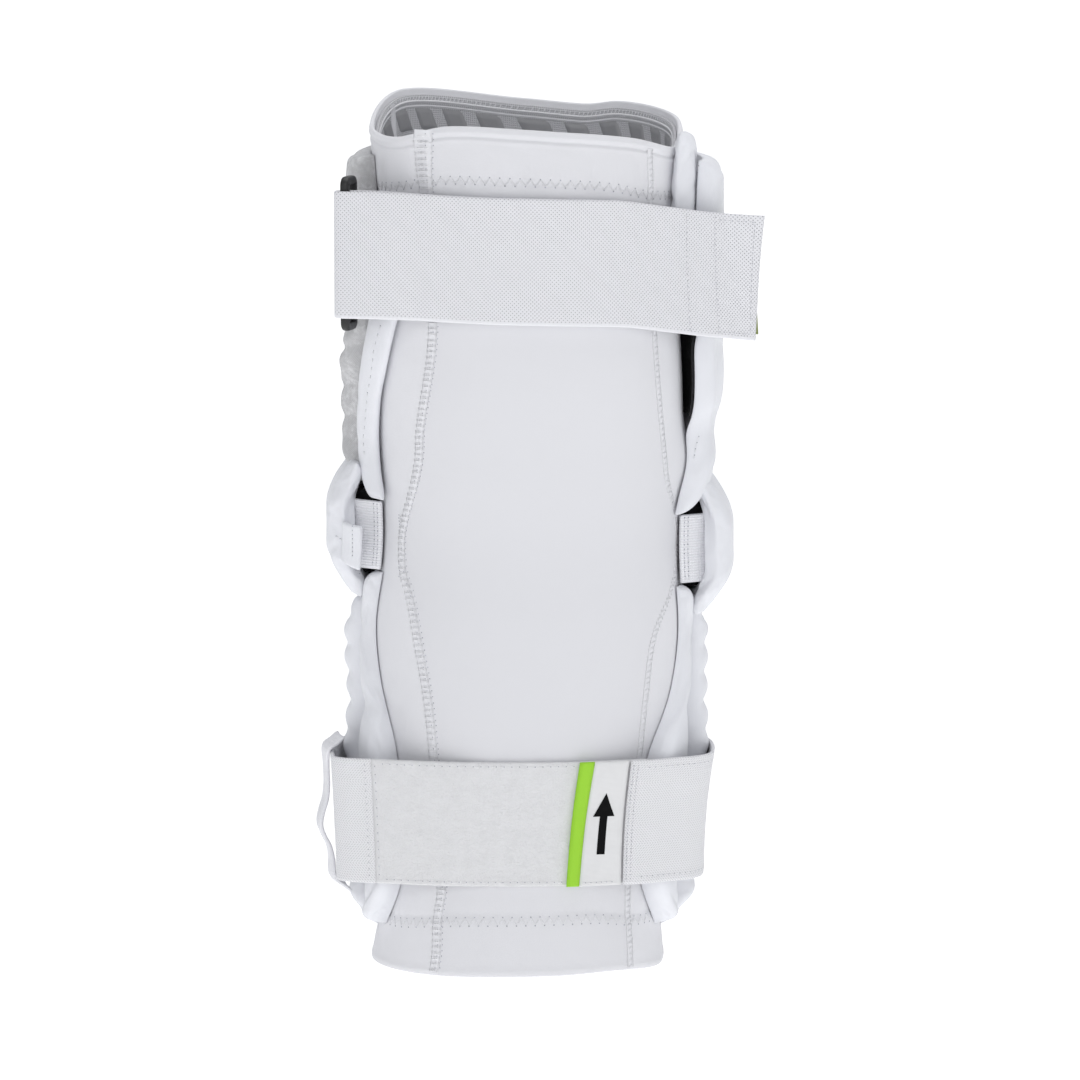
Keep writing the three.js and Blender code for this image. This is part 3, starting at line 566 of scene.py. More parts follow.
def sleeveRelief(angle, z):
    below = topRim(angle) - z
    above = z - bottomRim(angle)
    top = smooth(z, hemTop(angle) - 0.8, hemTop(angle) + 0.8)
    bottom = smooth(-z, -hemBottom(angle) - 0.8, -hemBottom(angle) + 0.8)
    relief = sleeve["hemRise"] * (top + bottom)
    roll = bell(below - 1.4, 0.9) - 0.8 * bell(below - 3.4, 0.6)
    relief = relief + sleeve["rimRoll"] * (roll + 0.4 * bell(below - 4.8, 0.8))
    relief = relief + 0.25 * bell(above - 1.5, 1.0)
    band = within(below, 4, 9, 22, 34)
    for at, width, height in folds:
        lean = at + 0.12 * (below - 12)
        relief = relief + sleeve["wrinkle"] * height * band * bell(wrapAngle(angle - lean), width)
    pull = bell(z - hemTop(angle), 2.2) + bell(z - hemBottom(angle), 2.2)
    relief = relief - 0.3 * pull - 0.08 * pull * np.cos(np.radians(angle) * 84)
    soft = np.sin(np.radians(angle) * 3 + z * 0.021) * np.sin(z * 0.034 + 1.2)
    return relief + 0.35 * soft * smooth(below, 30, 60) * smooth(above, 20, 50) + elbowBulge(angle, z)


def onSleeve(angle, z, lift=0.0):
    return lifted(angle, z, sleeveRelief(angle, z) + lift)


def buildSleeve():
    around = np.linspace(-180, 180, sleeve["around"], endpoint=False)
    wall = sleeve["wall"]
    rise = np.concatenate([np.linspace(0, 0.07, 24)[:-1], np.linspace(0.07, 0.93, 128)[:-1],
                           np.linspace(0.93, 0.982, 24)[:-1], np.linspace(0.982, 1, 17)])
    bend = np.linspace(0, np.pi, 7)[1:-1]
    fall = np.linspace(1, 0, 40)
    profile = ([(s, 0.0, 0.0, 1.0) for s in rise] +
               [(1.0, wall / 2 * np.sin(t), -wall / 2 + wall / 2 * np.cos(t), 0.5 + 0.5 * np.cos(t)) for t in bend] +
               [(s, 0.0, -wall, 0.0) for s in fall] +
               [(0.0, -wall / 2 * np.sin(t), -wall / 2 - wall / 2 * np.cos(t), 0.5 - 0.5 * np.cos(t)) for t in bend])
    share, shift, lift, outer = (np.array(c)[None, :] for c in zip(*profile))
    angle = around[:, None] + 0 * share
    z = mix(bottomRim(angle), topRim(angle), share)
    relief = sleeveRelief(angle, z) * outer
    grid = lifted(angle, z, relief + lift)
    grid[..., 2] += shift
    near = np.where((wrapAngle(angle) < -5) & (wrapAngle(angle) > -175), 1.0, 0.0)
    left, right, soft = leftSeam(z), rightSeam(z), 0.7
    panel = near * outer * within(angle, left - soft, left + soft, right - soft, right + soft)
    made = gridMesh("sleeve_knit", grid, "sleeve", closedU=True, closedV=True, values={"panel": panel})
    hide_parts("sleeve")


buildSleeve()
print("sleeve done")


def seamTape(name, seamAngle, low, high, width, rise):
    z = np.linspace(low, high, 150)
    across = np.linspace(-0.5, 0.5, 9)
    angle = seamAngle(z)
    perDegree = degreeSize(angle, z)
    wide = given(width, z) + 0 * z
    a = angle[:, None] + (across[None, :] - 0.5) * (wide / perDegree)[:, None]
    arch = rise * np.sqrt(np.clip(1 - (2 * across) ** 2, 0, 1))[None, :]
    grid = onSleeve(a, z[:, None] + 0 * a, arch - 0.05)
    gridMesh(name, grid, "sleeve")


def tapeWidth(z):  # wider toward the top hem
    return seams["tapeWidth"] * (1 + 1.3 * smooth(z, 120, 165))


def stitchSeam():
    rise = seams["tapeRise"]
    seamTape("left_flatlock_tape", leftSeam, -171.5, 170, tapeWidth, rise)
    z = np.arange(seams["leftLow"], seams["leftHigh"], seams["pitch"])
    z = z + random.normal(0, 0.12, z.size)
    angle = leftSeam(z)
    perDegree = degreeSize(angle, z)
    wide = tapeWidth(z)
    normal = outward(angle, z)

    def at(share, shift, lift):
        return onSleeve(angle - share * wide / perDegree, z + shift, lift)
    slack = random.normal(0, 0.15, z.size)
    stitches("left_flatlock_rungs", at(0.0, 0.1, 0.02), at(1.0, -0.1 + slack, 0.02), normal, 0.24, rise + 0.22)
    stitches("left_flatlock_rungs_second", at(0.02, 0.7, 0.02), at(0.98, 0.6 + slack, 0.02), normal, 0.17,
             rise + 0.12)
    edge = np.concatenate([at(-0.02, -0.75, 0.1), at(1.02, -0.75, 0.1)])
    edgeEnd = np.concatenate([at(-0.02, 1.0, 0.1), at(1.02, 1.0, 0.1)])
    stitches("left_flatlock_edges", edge, edgeEnd, np.concatenate([normal, normal]), radius=0.2, rise=0.3)
    dark = onSleeve(angle + 0.75 / perDegree, z + 1.15, 0.0)
    holeShades("left_flatlock_holes", dark, normal, 0.26)
    holeShades("left_flatlock_inner_holes", at(0.3, 1.15, rise * 0.9)[::2], normal[::2], 0.2)


def stitchTack():  # the bar tack beside the elbow band
    z = np.arange(tack["low"], tack["high"], tack["pitch"])
    angle = nearAngle(tack["x"] + tack["sway"] * np.sin(z), z)
    normal = outward(angle, z)
    stitches("elbow_bar_tack", onSleeve(angle - tack["before"], z, 0.1),
             onSleeve(angle + tack["after"], z + 0.15, 0.1), normal, 0.24, 0.4)
    holeShades("elbow_bar_tack_holes", onSleeve(angle - tack["hole"], z + 0.6, 0), normal, 0.3)


stitchSeam()
stitchTack()


def stitchRight():
    low, high = seams["rightLow"], seams["rightHigh"]
    z = np.arange(low, high, seams["rightPitch"])
    angle = rightSeam(z)
    shift = seams["rightApart"] / 2 / degreeSize(angle, z)
    both = np.concatenate([angle - shift, angle + shift])
    twice = np.tile(z, 2)
    normal = np.tile(outward(angle, z), (2, 1))
    stitches("right_seam_stitches", onSleeve(both, twice, 0.02), onSleeve(both, twice + 1.2, 0.02), normal, 0.17, 0.2)
    seamTape("right_seam_tape", lambda v: rightSeam(v) + 1.0, low, high, 2.2, 0.22)
    z = np.arange(low, high, seams["crossPitch"])
    angle = rightSeam(z)
    stitches("right_seam_crossings", onSleeve(angle - 1.2, z, 0.1), onSleeve(angle + 1.2, z + 1.1, 0.1),
             outward(angle, z), 0.12, 0.25)


stitchRight()


def zigzag(name, height, tall, pitch):
    angles = [-180.0]
    while angles[-1] < 180 - 0.5:
        a = angles[-1]
        angles.append(a + pitch / 2 / degreeSize(a, height(a)))
    angles = np.array(angles[:-1])
    high = height(angles) + np.where(np.arange(angles.size) % 2 == 0, tall / 2, -tall / 2)
    points = onSleeve(angles, high, 0.0)
    normal = outward(angles, high)
    following = np.roll(points, -1, axis=0)
    stitches(name, points, following, normal, radius=0.16, rise=0.12)
    holeShades(name + "_holes", points, normal, 0.3)


zigzag("top_hem_zigzag", hemTop, 3.1, 4.0)
zigzag("bottom_hem_zigzag", lambda a: hemBottom(a) - 1.8, 3.4, 3.8)
print("seams and hems done")


# grip band inside the top opening

grip = {
    "drop": 2, "height": 30, "thickness": 1.0, "inset": 0.3, "around": 240, "rows": 24, "barWidth": 8.5,
    "barTall": 9, "barDrop": 10, "spacing": 13, "slant": 3.2, "wayRound": 330, "degree": 0.92, "barRise": 0.55,
    "barCells": 8, "seamAngle": 152, "seamWidth": 4.4, "seamRise": 0.45, "seamHeight": 27,
}
pipings = {"rim_piping": (4.6, 0.5), "rim_piping_thin": (6.6, 0.3)}  # below the rim, and thickness


def buildGrip():
    around = np.linspace(-180, 180, grip["around"], endpoint=False)
    outerLift = -sleeve["wall"] - grip["inset"]
    face = outerLift - grip["thickness"]
    rows = grip["rows"]
    share = np.concatenate([np.linspace(0, 1, rows), np.linspace(1, 0, rows)])[None, :]
    lift = np.concatenate([np.full(rows, outerLift), np.full(rows, face)])[None, :]
    angle = around[:, None] + 0 * share
    z = topRim(angle) - grip["drop"] - grip["height"] * (1 - share)
    made = gridMesh("grip_band_mesh", lifted(angle, z, lift), "mesh", closedU=True, closedV=True)
    faceOut(made)
    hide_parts("cuff_gripper_band")
    cells = grip["barCells"]
    side = np.linspace(-1, 1, cells + 1)
    u, v = np.meshgrid(side, side, indexing="ij")
    i, k = (grid.ravel() for grid in np.meshgrid(np.arange(cells), np.arange(cells), indexing="ij"))
    corner = i * (cells + 1) + k
    cell = np.stack([corner, corner + 1, corner + cells + 2, corner + cells + 1], axis=1)
    height = grip["barRise"] * (1 - smooth(np.maximum(np.abs(u), np.abs(v)), 0.78, 1.0))
    points, faces = [], []
    count = int(grip["wayRound"] / grip["spacing"])
    for n in range(count):  # plain slanted bars of grip rubber
        middle = -180 + 360 * (n + 0.5) / count
        a = middle + (u * grip["barWidth"] / 2 + v * grip["slant"] / 2) / grip["degree"]
        z = topRim(a) - grip["drop"] - grip["barDrop"] + v * grip["barTall"] / 2
        points.append(lifted(a, z, face + 0.05 - height).reshape(-1, 3))
        faces.append(n * (cells + 1) ** 2 + cell)
    faces = np.concatenate(faces)
    meshPiece("grip_silicone_shapes", np.concatenate(points), faces, np.zeros((faces.size, 2)), "silicone")
    angle = np.linspace(-180, 180, 200, endpoint=False)
    ring = np.linspace(0, 2 * np.pi, 8, endpoint=False)
    for name, (down, radius) in pipings.items():
        grid = lifted(angle[:, None], (topRim(angle) - down)[:, None] + radius * np.cos(ring)[None, :],
                      face - 0.05 - radius * np.sin(ring)[None, :])
        faceOut(gridMesh(name, grid, "thread", closedU=True, closedV=True))
    z = topRim(angle) - grip["drop"] - 0.6
    stitches("rim_overlock", lifted(angle, z, face + 0.02), lifted(angle + 0.9, z - 1.8, face + 0.02),
             -outward(angle, z), 0.2, 0.15)
    down = np.linspace(0, 1, 40)  # an upright seam on the far left inside
    a = grip["seamAngle"] + 0 * down
    z = topRim(a) - 3 - grip["seamHeight"] * down
    across = np.linspace(-1, 1, 5)
    arch = grip["seamRise"] * (1 - across**2)
    gridMesh("grip_band_seam", lifted(a[:, None] + across * grip["seamWidth"] / 2, z[:, None], face - arch), "sleeve")


buildGrip()
print("grip band done")


# padded panels: closed rings of points, swelled by cloth, then smoothed

def edgeFullness(distance, round_, thin):
    t = np.clip(distance / round_, 0, 1)
    return thin + (1 - thin) * np.sqrt(1 - (1 - t) ** 2)


def edgeSpread(count, ease=0.55):
    t = np.linspace(0, 1, count)
    return mix(t, (1 - np.cos(np.pi * t)) / 2, ease)


def padGrid(form):
    cols, rows = form["cols"], form["rows"]
    v = edgeSpread(rows, form.get("ease", 0.55))[:, None]
    u = edgeSpread(cols, form.get("ease", 0.55))[None, :]
    start, end = (given(form[side], v) + 0 * v for side in ("start", "end"))
    angle = mix(start, end, u)
    low, high = (given(form[side], angle) + 0 * angle for side in ("low", "high"))
    z = mix(low, high, v)
    a, b = (given(form[side], angle, z) + 0 * z for side in ("inner", "outer"))
    here = lifted(angle, z, a)
    step = np.linalg.norm(np.diff(here, axis=1), axis=-1)
    run = np.concatenate([np.zeros((rows, 1)), np.cumsum(step, axis=1)], axis=1)
    sides = np.minimum(run, run[:, -1:] - run)
    ends = np.minimum(z - low, high - z)
    endRound = form.get("endRound", form["round"])
    full = edgeFullness(ends, endRound, form["thin"]) * edgeFullness(sides, form["round"], form["thin"])
    thick = b - a
    if form.get("seated", True):
        top, bottom = a + thick * full, a
    else:
        top, bottom = b - thick * (1 - full) / 2, a + thick * (1 - full) / 2
    outer, inner = lifted(angle, z, top), lifted(angle, z, bottom)
    return np.concatenate([outer, inner[:, ::-1]], axis=1), angle, z


def ringFaces(rows, ring):
    i, k = np.meshgrid(np.arange(rows - 1), np.arange(ring), indexing="ij")
    i, k = i.ravel(), k.ravel()
    nextK = (k + 1) % ring
    faces = np.stack([i * ring + k, i * ring + nextK, (i + 1) * ring + nextK, (i + 1) * ring + k], axis=1)
    a = np.arange(ring // 2 - 1)
    caps = [end * ring + np.stack([a, a + 1, ring - 2 - a, ring - 1 - a], axis=1) for end in (0, rows - 1)]
    return np.concatenate([faces, *caps])


cloth = {"scale": 5.0, "frames": 14}  # it runs larger than life, where the solver is steadier
clothSettings = {
    "quality": 6, "mass": 0.2, "tension_stiffness": 12, "compression_stiffness": 12, "shear_stiffness": 6,
    "bending_stiffness": 0.25, "vertex_group_mass": "sewn", "use_pressure": True,
}


def swell(grid, pressure, cap, pinned, slack):
    rows, ring = grid.shape[:2]
    mesh = bpy.data.meshes.new("swelling")
    scale, frames = cloth["scale"], cloth["frames"]
    mesh.from_pydata((grid.reshape(-1, 3) * mm * scale).tolist(), [], ringFaces(rows, ring).tolist())
    work = bpy.data.objects.new("swelling", mesh)
    scene.collection.objects.link(work)
    faceOut(work)
    group = work.vertex_groups.new(name="sewn")
    group.add([int(n) for n in np.flatnonzero(pinned.ravel())], 1.0, "REPLACE")
    solver = work.modifiers.new("cloth", "CLOTH")
    for key, value in {**clothSettings, "shrink_min": -slack, "uniform_pressure_force": pressure}.items():
        setattr(solver.settings, key, value)
    solver.settings.effector_weights.gravity = 0
    solver.collision_settings.use_collision = False
    solver.point_cache.frame_start, solver.point_cache.frame_end = 1, frames
    for step in range(1, frames + 1):
        scene.frame_set(step)
    shape = work.evaluated_get(bpy.context.evaluated_depsgraph_get()).to_mesh()
    moved = np.empty(len(shape.vertices) * 3, np.float32)
    shape.vertices.foreach_get("co", moved)
    bpy.data.objects.remove(work)
    bpy.data.meshes.remove(mesh)
    scene.frame_set(1)
    delta = moved.reshape(rows, ring, 3) / mm / scale - grid
    size = np.linalg.norm(delta, axis=-1, keepdims=True)
    delta *= np.minimum(1, cap / np.maximum(size, 1e-6))
    return grid + delta


padPieces = {}


def padPiece(name, node, finish, form, pressure, cap, slack=0.03, relief=None):
    grid, angle, z = padGrid(form)
    cols = angle.shape[1]
    pinned = np.zeros(grid.shape[:2], bool)  # the sewn edges, and the side that lies on the arm
    pinned[:2], pinned[-2:], pinned[:, 0], pinned[:, -1] = True, True, True, True
    pinned[:, cols - 1:(None if form.get("seated", True) else cols + 1)] = True
    grid = swell(grid, pressure, cap, pinned, slack)
    if relief:
        grid[:, :cols] += outward(angle, z) * relief(angle, z)[..., None]
    made = gridMesh(name, grid, finish, closedV=True, capEnds=True, subdivide=1)
    faceOut(made)
    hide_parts(node)
    padPieces[name] = made


def backShare(angle):
    return np.maximum(np.sin(np.radians(angle)), 0)


upper = {
    "top": 156.1, "bottom": 17.15, "thickness": 10, "endThickness": 7, "backRise": 5,
    "lining": 1.2, "liningEnd": 50, "liningBack": 34, "wingGap": 4.5, "wingAngle": -14, "wingDrop": 5.6,
    "rollThickness": 7, "rollBottom": 97.1, "sideThickness": 10.4, "sideStart": 140, "sideTop": 158.1,
    "sideBottom": 22.15, "sideEnd": 195, "flapThickness": 5.4, "flapTop": 100.2, "flapBottom": 18.2,
}
liningOuter = seatGap + upper["lining"]
shellInner = liningOuter + pieceGap
rollSpace = upper["rollThickness"] + pieceGap
wingRows = {"at": [0, 0.1, 0.19, 0.24, 0.29, 0.45, 0.62, 1], "gap": [0.1, 0.1, 0.14, 0.5, 0.85, 1, 1.15, 1.5],
            "edge": [-21, -16.5, -12.5, -12.5, -13.5, -14, -14, -14]}
flapRows = {"at": [0, 0.12, 0.3, 0.5, 0.65, 0.88, 1], "start": [192, 188, 185, 186, 190, 198, 202],
            "end": [205, 201, 199, 203, 209, 216, 220], "lift": [1.2, 2.8, 3.6, 3, 2.4, 1.8, 1.5]}
upperHeight = upper["top"] - upper["bottom"]


def upperShare(z):
    return (z - upper["bottom"]) / upperHeight


def standOff(angle, z):
    opened = 1 - smooth(angle, upper["wingAngle"] + 14, upper["wingAngle"] + 50)
    above = smooth(z, upper["rollBottom"] - 18, upper["rollBottom"] - 5)
    gap = readRow(wingRows, "gap", upperShare(z)) * upper["wingGap"]
    return opened * mix(gap, rollSpace, above) + elbowBulge(angle, z)


def upperLow(angle):
    side = 3.5 * within(angle, -14, 4, 60, 120)
    return upper["bottom"] + upper["backRise"] * backShare(angle) + side - upper["wingDrop"] * (
        1 - smooth(angle, -20, -4))


def upperHigh(angle):
    return upper["top"] + upper["backRise"] * backShare(angle)


def upperThick(z):
    taper = smooth(z, upper["bottom"], upper["bottom"] + upperHeight * 0.35)
    return mix(upper["endThickness"], upper["thickness"], taper)


def closedShare(z):  # 0 where the gap beside the edge is open
    return np.maximum(1 - smooth(z, 44, 52), smooth(z, upper["rollBottom"] - 4, upper["rollBottom"] + 8))


def liningStart(z):  # behind the shell's edge, and further back where no gap shows it
    back = upper["liningBack"] * closedShare(z)
    return wingEdge(upperShare(z)) + 1.5 + back


def shellFoot(angle, z):
    away = smooth(angle, upper["liningEnd"] + 5, upper["liningEnd"] + 30)
    low = 1 - smooth(z, 44, 52)
    return mix(shellInner, seatGap, np.maximum(away, low))


def flapShare(z):
    return (z - upper["flapBottom"]) / (upper["flapTop"] - upper["flapBottom"])


def flapLift(angle, z):  # its left edge leans out over the side panel
    share = flapShare(z)
    start, end = readRow(flapRows, "start", share), readRow(flapRows, "end", share)
    return readRow(flapRows, "lift", share) * (1 - smooth((angle - start) / (end - start), 0, 0.75))


def sideEdge(z):
    return np.minimum(readRow(flapRows, "start", flapShare(z)) - 1.4, upper["sideEnd"])


def wingEdge(share):
    return readRow(wingRows, "edge", share)


def wingFold(angle, z):  # a soft valley beside the turned edge, and a bulge where it curls under
    along = within(z, 40, 60, 92, 110)
    valley = -1.9 * bell(angle - wingEdge(upperShare(z)) - 7.5, 2.6)
    return valley * along + 0.4 * bell(angle + 6, 8) * bell(z - 38, 7)


sideCreases = [  # share of the height, width, depth
    (0.31, 1.6, 1.5), (0.42, 1.5, 1.9), (0.5, 1.3, 1.2), (0.22, 1.6, 1.0), (0.6, 1.6, 1.4), (0.86, 2, 0.9)]


def crumple(angle, z):
    dent = 0
    for at, width, depth in sideCreases:
        away = (upperShare(z) - at - 0.0012 * (angle - 165)) * upperHeight
        dent = dent - depth * bell(away, width)
    return dent + 0.4 * np.sin(z * 0.5 + angle * 0.12) * np.sin(z * 0.17 + 2)


def sideOuter(angle, z):  # thin at its foot, and lower again beside the strap
    full = mix(0.22, 1.16, smooth(z, 14, 40) ** 0.6) - 0.34 * smooth(z, 72, 100)
    return seatGap + upper["sideThickness"] * full


def buildUpper():
    padPiece("upper_arm_shell", "upper_pad", "pad", {
        "cols": 64, "rows": 54, "start": wingEdge, "ease": 0.75, "end": upper["sideStart"],
        "low": upperLow, "high": upperHigh, "round": 8, "thin": 0.2,
        "inner": lambda a, z: shellFoot(a, z) + standOff(a, z),
        "outer": lambda a, z: shellInner + standOff(a, z) + upperThick(z),
    }, pressure=5, cap=1.6, slack=0.02, relief=wingFold)
    lining = padGrid({
        "cols": 30, "rows": 50, "start": lambda v: liningStart(upper["bottom"] + v * upperHeight),
        "end": upper["liningEnd"], "low": upperLow, "high": upperHigh, "round": 2, "thin": 0.7,
        "inner": lambda a, z: seatGap + standOff(a, z), "outer": lambda a, z: liningOuter + standOff(a, z),
    })[0]
    lining = gridMesh("upper_arm_lining", lining, "lining", closedV=True, capEnds=True)
    faceOut(lining)
    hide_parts("upper_pad_lining")
    padPiece("heather_side_panel", "upper_pad_side_panel", "heather", {
        "cols": 34, "rows": 96, "start": upper["sideStart"] + 0.8,
        "end": lambda v: sideEdge(mix(upper["sideBottom"], upper["sideTop"], v)), "low": upper["sideBottom"],
        "high": lambda a: upper["sideTop"] + upper["backRise"] * backShare(a), "round": 5, "thin": 0.2,
        "inner": seatGap, "outer": sideOuter,
    }, pressure=6, cap=2.2, slack=0.05, relief=crumple)
    padPiece("left_flap_roll", "upper_pad_flap_left", "pad", {
        "cols": 22, "rows": 60, "start": lambda v: readRow(flapRows, "start", v),
        "end": lambda v: readRow(flapRows, "end", v), "low": upper["flapBottom"], "high": upper["flapTop"],
        "round": 6, "thin": 0.12, "seated": False, "inner": lambda a, z: seatGap + flapLift(a, z),
        "outer": lambda a, z: seatGap + upper["flapThickness"] + flapLift(a, z),
    }, pressure=5, cap=0.6, slack=0.0)
    padPiece("right_edge_roll", "upper_pad_roll_right", "pad", {
        "cols": 20, "rows": 50, "start": -24, "end": -5, "low": upper["rollBottom"],
        "high": lambda a: upper["top"] + 12 - 0.05 * (a + 19) ** 2, "round": 6, "thin": 0.12, "seated": False,
        "inner": seatGap, "outer": seatGap + upper["rollThickness"],
    }, pressure=5, cap=1.0)


buildUpper()
frontRow("flap_stitches", [padPieces["left_flap_roll"]],
         [(-56.4, 86), (-57.6, 82.4), (-59.2, 76.8), (-60.4, 67.2), (-62, 59.6), (-63, 50), (-64, 41), (-63.6, 34)],
         3.4, 0.4)
frontRow("right_roll_stitches", [padPieces["right_edge_roll"], padPieces["upper_arm_shell"]],
         [(71.6, 153), (70.8, 146), (70, 138), (68.8, 130)], 2.8)
frontRow("wing_stitches", [padPieces["upper_arm_shell"]], [(72, 42), (70.8, 38), (70, 33)], 2.6)
print("upper arm pad done")


# elbow cap, liner, bands and tab

elbow = {"thickness": 8, "dome": 15, "wrap": 205, "sideHeight": 55, "backHeight": 98, "leftCentre": 5,
         "rightCentre": -2.5, "curlTop": 6.5, "curlBottom": 9.5, "liner": 11.2, "linerWrap": 183, "linerHeight": 34,
         "bandHeight": 28, "bandThickness": 1.8, "bandLeft": 3, "bandLeftFoot": 197.5, "bandLeftHead": 184.5,
         "bandRight": -3, "bandRightFoot": -14, "bandRightHead": -4.5, "tabHeight": 18, "tabThickness": 2.6,
         "tabDrop": 5.5, "tabSlant": 1.6, "tabEnd": 199.5}
capInner = seatGap + elbow["liner"] + pieceGap * 2


def capCentre(angle):
    return mix(elbow["rightCentre"], elbow["leftCentre"], np.clip(angle / 180, 0, 1))


def capHalf(angle):
    return mix(elbow["sideHeight"], elbow["backHeight"], backShare(angle) ** 1.5) / 2


def dome(angle, z):
    level = np.maximum(1 - ((z - capCentre(angle)) / (elbow["backHeight"] / 2)) ** 2, 0)
    return elbow["dome"] * backShare(angle) ** 1.3 * level


def curl(angle, z):  # the ends of the cup's sides turn in toward the arm
    level = (z - capCentre(angle)) / capHalf(angle)
    turned = elbow["curlTop"] * smooth(level, 0.3, 1) + elbow["curlBottom"] * smooth(-level, 0.3, 1)
    return turned * (1 - smooth(backShare(angle), 0.3, 0.85))


def bandCentre(angle):
    return mix(elbow["bandRight"], elbow["bandLeft"], angle / 180)


def cupFolds(angle, z):  # creases that run in from the cup's turned edges
    left = bell(z - 13 + 0.5 * (angle - 186), 1.3) * smooth(angle, 176, 184)
    low = bell(z + 5 - 0.7 * (angle - 186), 1.5) * smooth(angle, 174, 184)
    right = bell(z - 12 - 0.6 * (angle + 6), 1.6) * (1 - smooth(angle, 0, 8))
    return -0.9 * left - 1.1 * low - 0.8 * right


def buildElbow():
    padPiece("elbow_cup", "elbow_cap", "pad", {
        "cols": 84, "rows": 40, "start": 90 - elbow["wrap"] / 2, "end": 90 + elbow["wrap"] / 2,
        "low": lambda a: capCentre(a) - capHalf(a), "high": lambda a: capCentre(a) + capHalf(a),
        "round": 5, "endRound": 9, "thin": 0.12, "seated": False, "ease": 0.85,
        "inner": lambda a, z: capInner + dome(a, z) / 2 - curl(a, z),
        "outer": lambda a, z: capInner + elbow["thickness"] + dome(a, z) - curl(a, z),
    }, pressure=5, cap=1.8, relief=cupFolds)
    padPiece("elbow_foam_liner", "elbow_cap_liner", "lining", {
        "cols": 60, "rows": 20, "start": 90 - elbow["linerWrap"] / 2, "end": 90 + elbow["linerWrap"] / 2,
        "low": lambda a: bandCentre(a) - elbow["linerHeight"] / 2,
        "high": lambda a: bandCentre(a) + elbow["linerHeight"] / 2, "round": 3, "thin": 0.5,
        "inner": seatGap, "outer": lambda a, z: seatGap + elbow["liner"] + dome(a, z) / 2,
    }, pressure=2, cap=0.4, slack=0.0)


buildElbow()
frontRow("cup_stitches", [padPieces["elbow_cup"]], [(-75.2, 1.6), (-72.6, 0), (-69.6, -2)], 1.9)
frontRow("cup_lower_stitches", [padPieces["elbow_cup"]], [(-70.8, -8), (-68, -12), (-65, -14.5)], 1.9)
print("elbow cap done")


# forearm pad

forearm = {"top": -21.95, "bottom": -157.8, "thickness": 11.5, "start": -8, "end": 188, "ribPitch": 12,
           "ribHeight": 0.8, "edgeThickness": 6}
forearmRows = {"at": [0, 0.09, 0.2, 0.4, 0.55, 0.66, 0.8, 0.92, 1],
               "left": [0.75, 1.12, 1.2, 1.22, 1.12, 0.94, 0.9, 0.9, 0.8],
               "right": [0.7, 1.2, 1.36, 1.38, 1.3, 1.08, 0.9, 0.84, 0.76]}
edgeRows = {"at": [0, 0.15, 0.5, 0.7, 0.85, 1], "left": [202, 214, 214, 202, 197, 199],
            "right": [-20, -34, -36, -21, -16, -18]}


def forearmOuter(angle, z):
    share = (z - forearm["bottom"]) / (forearm["top"] - forearm["bottom"])
    right, left = readRow(forearmRows, "right", share), readRow(forearmRows, "left", share)
    full = mix(right, left, np.clip(angle / 180, 0, 1))
    return seatGap + forearm["thickness"] * full + 3 * backShare(angle)


def ribbing(angle, z):
    phase = 2 * np.pi * (z - forearm["bottom"]) / forearm["ribPitch"]
    wave = np.sqrt(np.clip(0.5 + 0.5 * np.cos(phase), 0, 1)) * 2 - 1
    inside = within(angle, forearm["start"] + 1, forearm["start"] + 8, forearm["end"] - 8, forearm["end"] - 1)
    return forearm["ribHeight"] * 1.25 * (wave - 0.4) * inside


def edgeSwell(z):
    return 1 + 0.6 * smooth(-z, -forearm["top"] + 40, -forearm["top"] + 70)


def buildForearm():
    padPiece("forearm_shell", "forearm_pad", "pad", {
        "cols": 60, "rows": 92, "start": forearm["start"], "end": forearm["end"], "low": forearm["bottom"],
        "high": lambda a: forearm["top"] - 6 * backShare(a), "round": 7, "endRound": 14, "thin": 0.15,
        "inner": seatGap, "outer": lambda a, z: forearmOuter(a, z) - forearm["ribHeight"] * 0.6,
    }, pressure=4, cap=1.2, slack=0.02, relief=ribbing)
    for side, start, end, band in (
            ("left", forearm["end"] + 0.7, lambda v: readRow(edgeRows, "left", v), elbow["bandLeft"]),
            ("right", lambda v: readRow(edgeRows, "right", v), forearm["start"] - 0.7, elbow["bandRight"])):
        padPiece(f"forearm_{side}_roll", f"forearm_roll_{side}", "pad", {
            "cols": 22, "rows": 72, "start": start, "end": end, "low": forearm["bottom"] + 2.1,
            "high": band - elbow["bandHeight"] / 2 - 0.9, "round": 6, "thin": 0.15, "inner": seatGap,
            "outer": lambda a, z: seatGap + forearm["edgeThickness"] * edgeSwell(z),
        }, pressure=5, cap=1.0)


buildForearm()
print("forearm pad done")


# straps: ribbons with soft selvedges

strap = {
    "width": 50.8, "thickness": 1.6, "layerGap": 0.4, "upperCentre": 118.3, "lowerCentre": -110.3,
    "loopBar": 3.6, "loopStandOff": 22.2, "loopLength": 62, "loopDepth": 15, "loopTilt": 7.2, "loopFarAngle": -158.5,
    "loopCorner": 2.2, "start": -27, "end": -9.5, "step": 4.0, "slant": 5.5, "flare": 3.8, "hookTall": 46,
    "hookThickness": 1.4, "keeperWidth": 34, "keeperThickness": 1.5,
}
upperRows = {
    "at": [-153, -145, -130, -118, -105, -60, -50, -40, -30, -22, -14, -9],
    "left": [1, 0.6, 0.2, 0.05, 0, 0, 0, 0, 0, 0, 0, 0],
    "right": [0, 0, 0, 0, 0, 0, 0.02, 0.12, 0.31, 0.58, 1.02, 1.58],
    "rise": [0.03, 0.03, 0.02, 0.01, 0, -0.03, -0.05, -0.08, -0.11, -0.14, -0.17, -0.2],
}
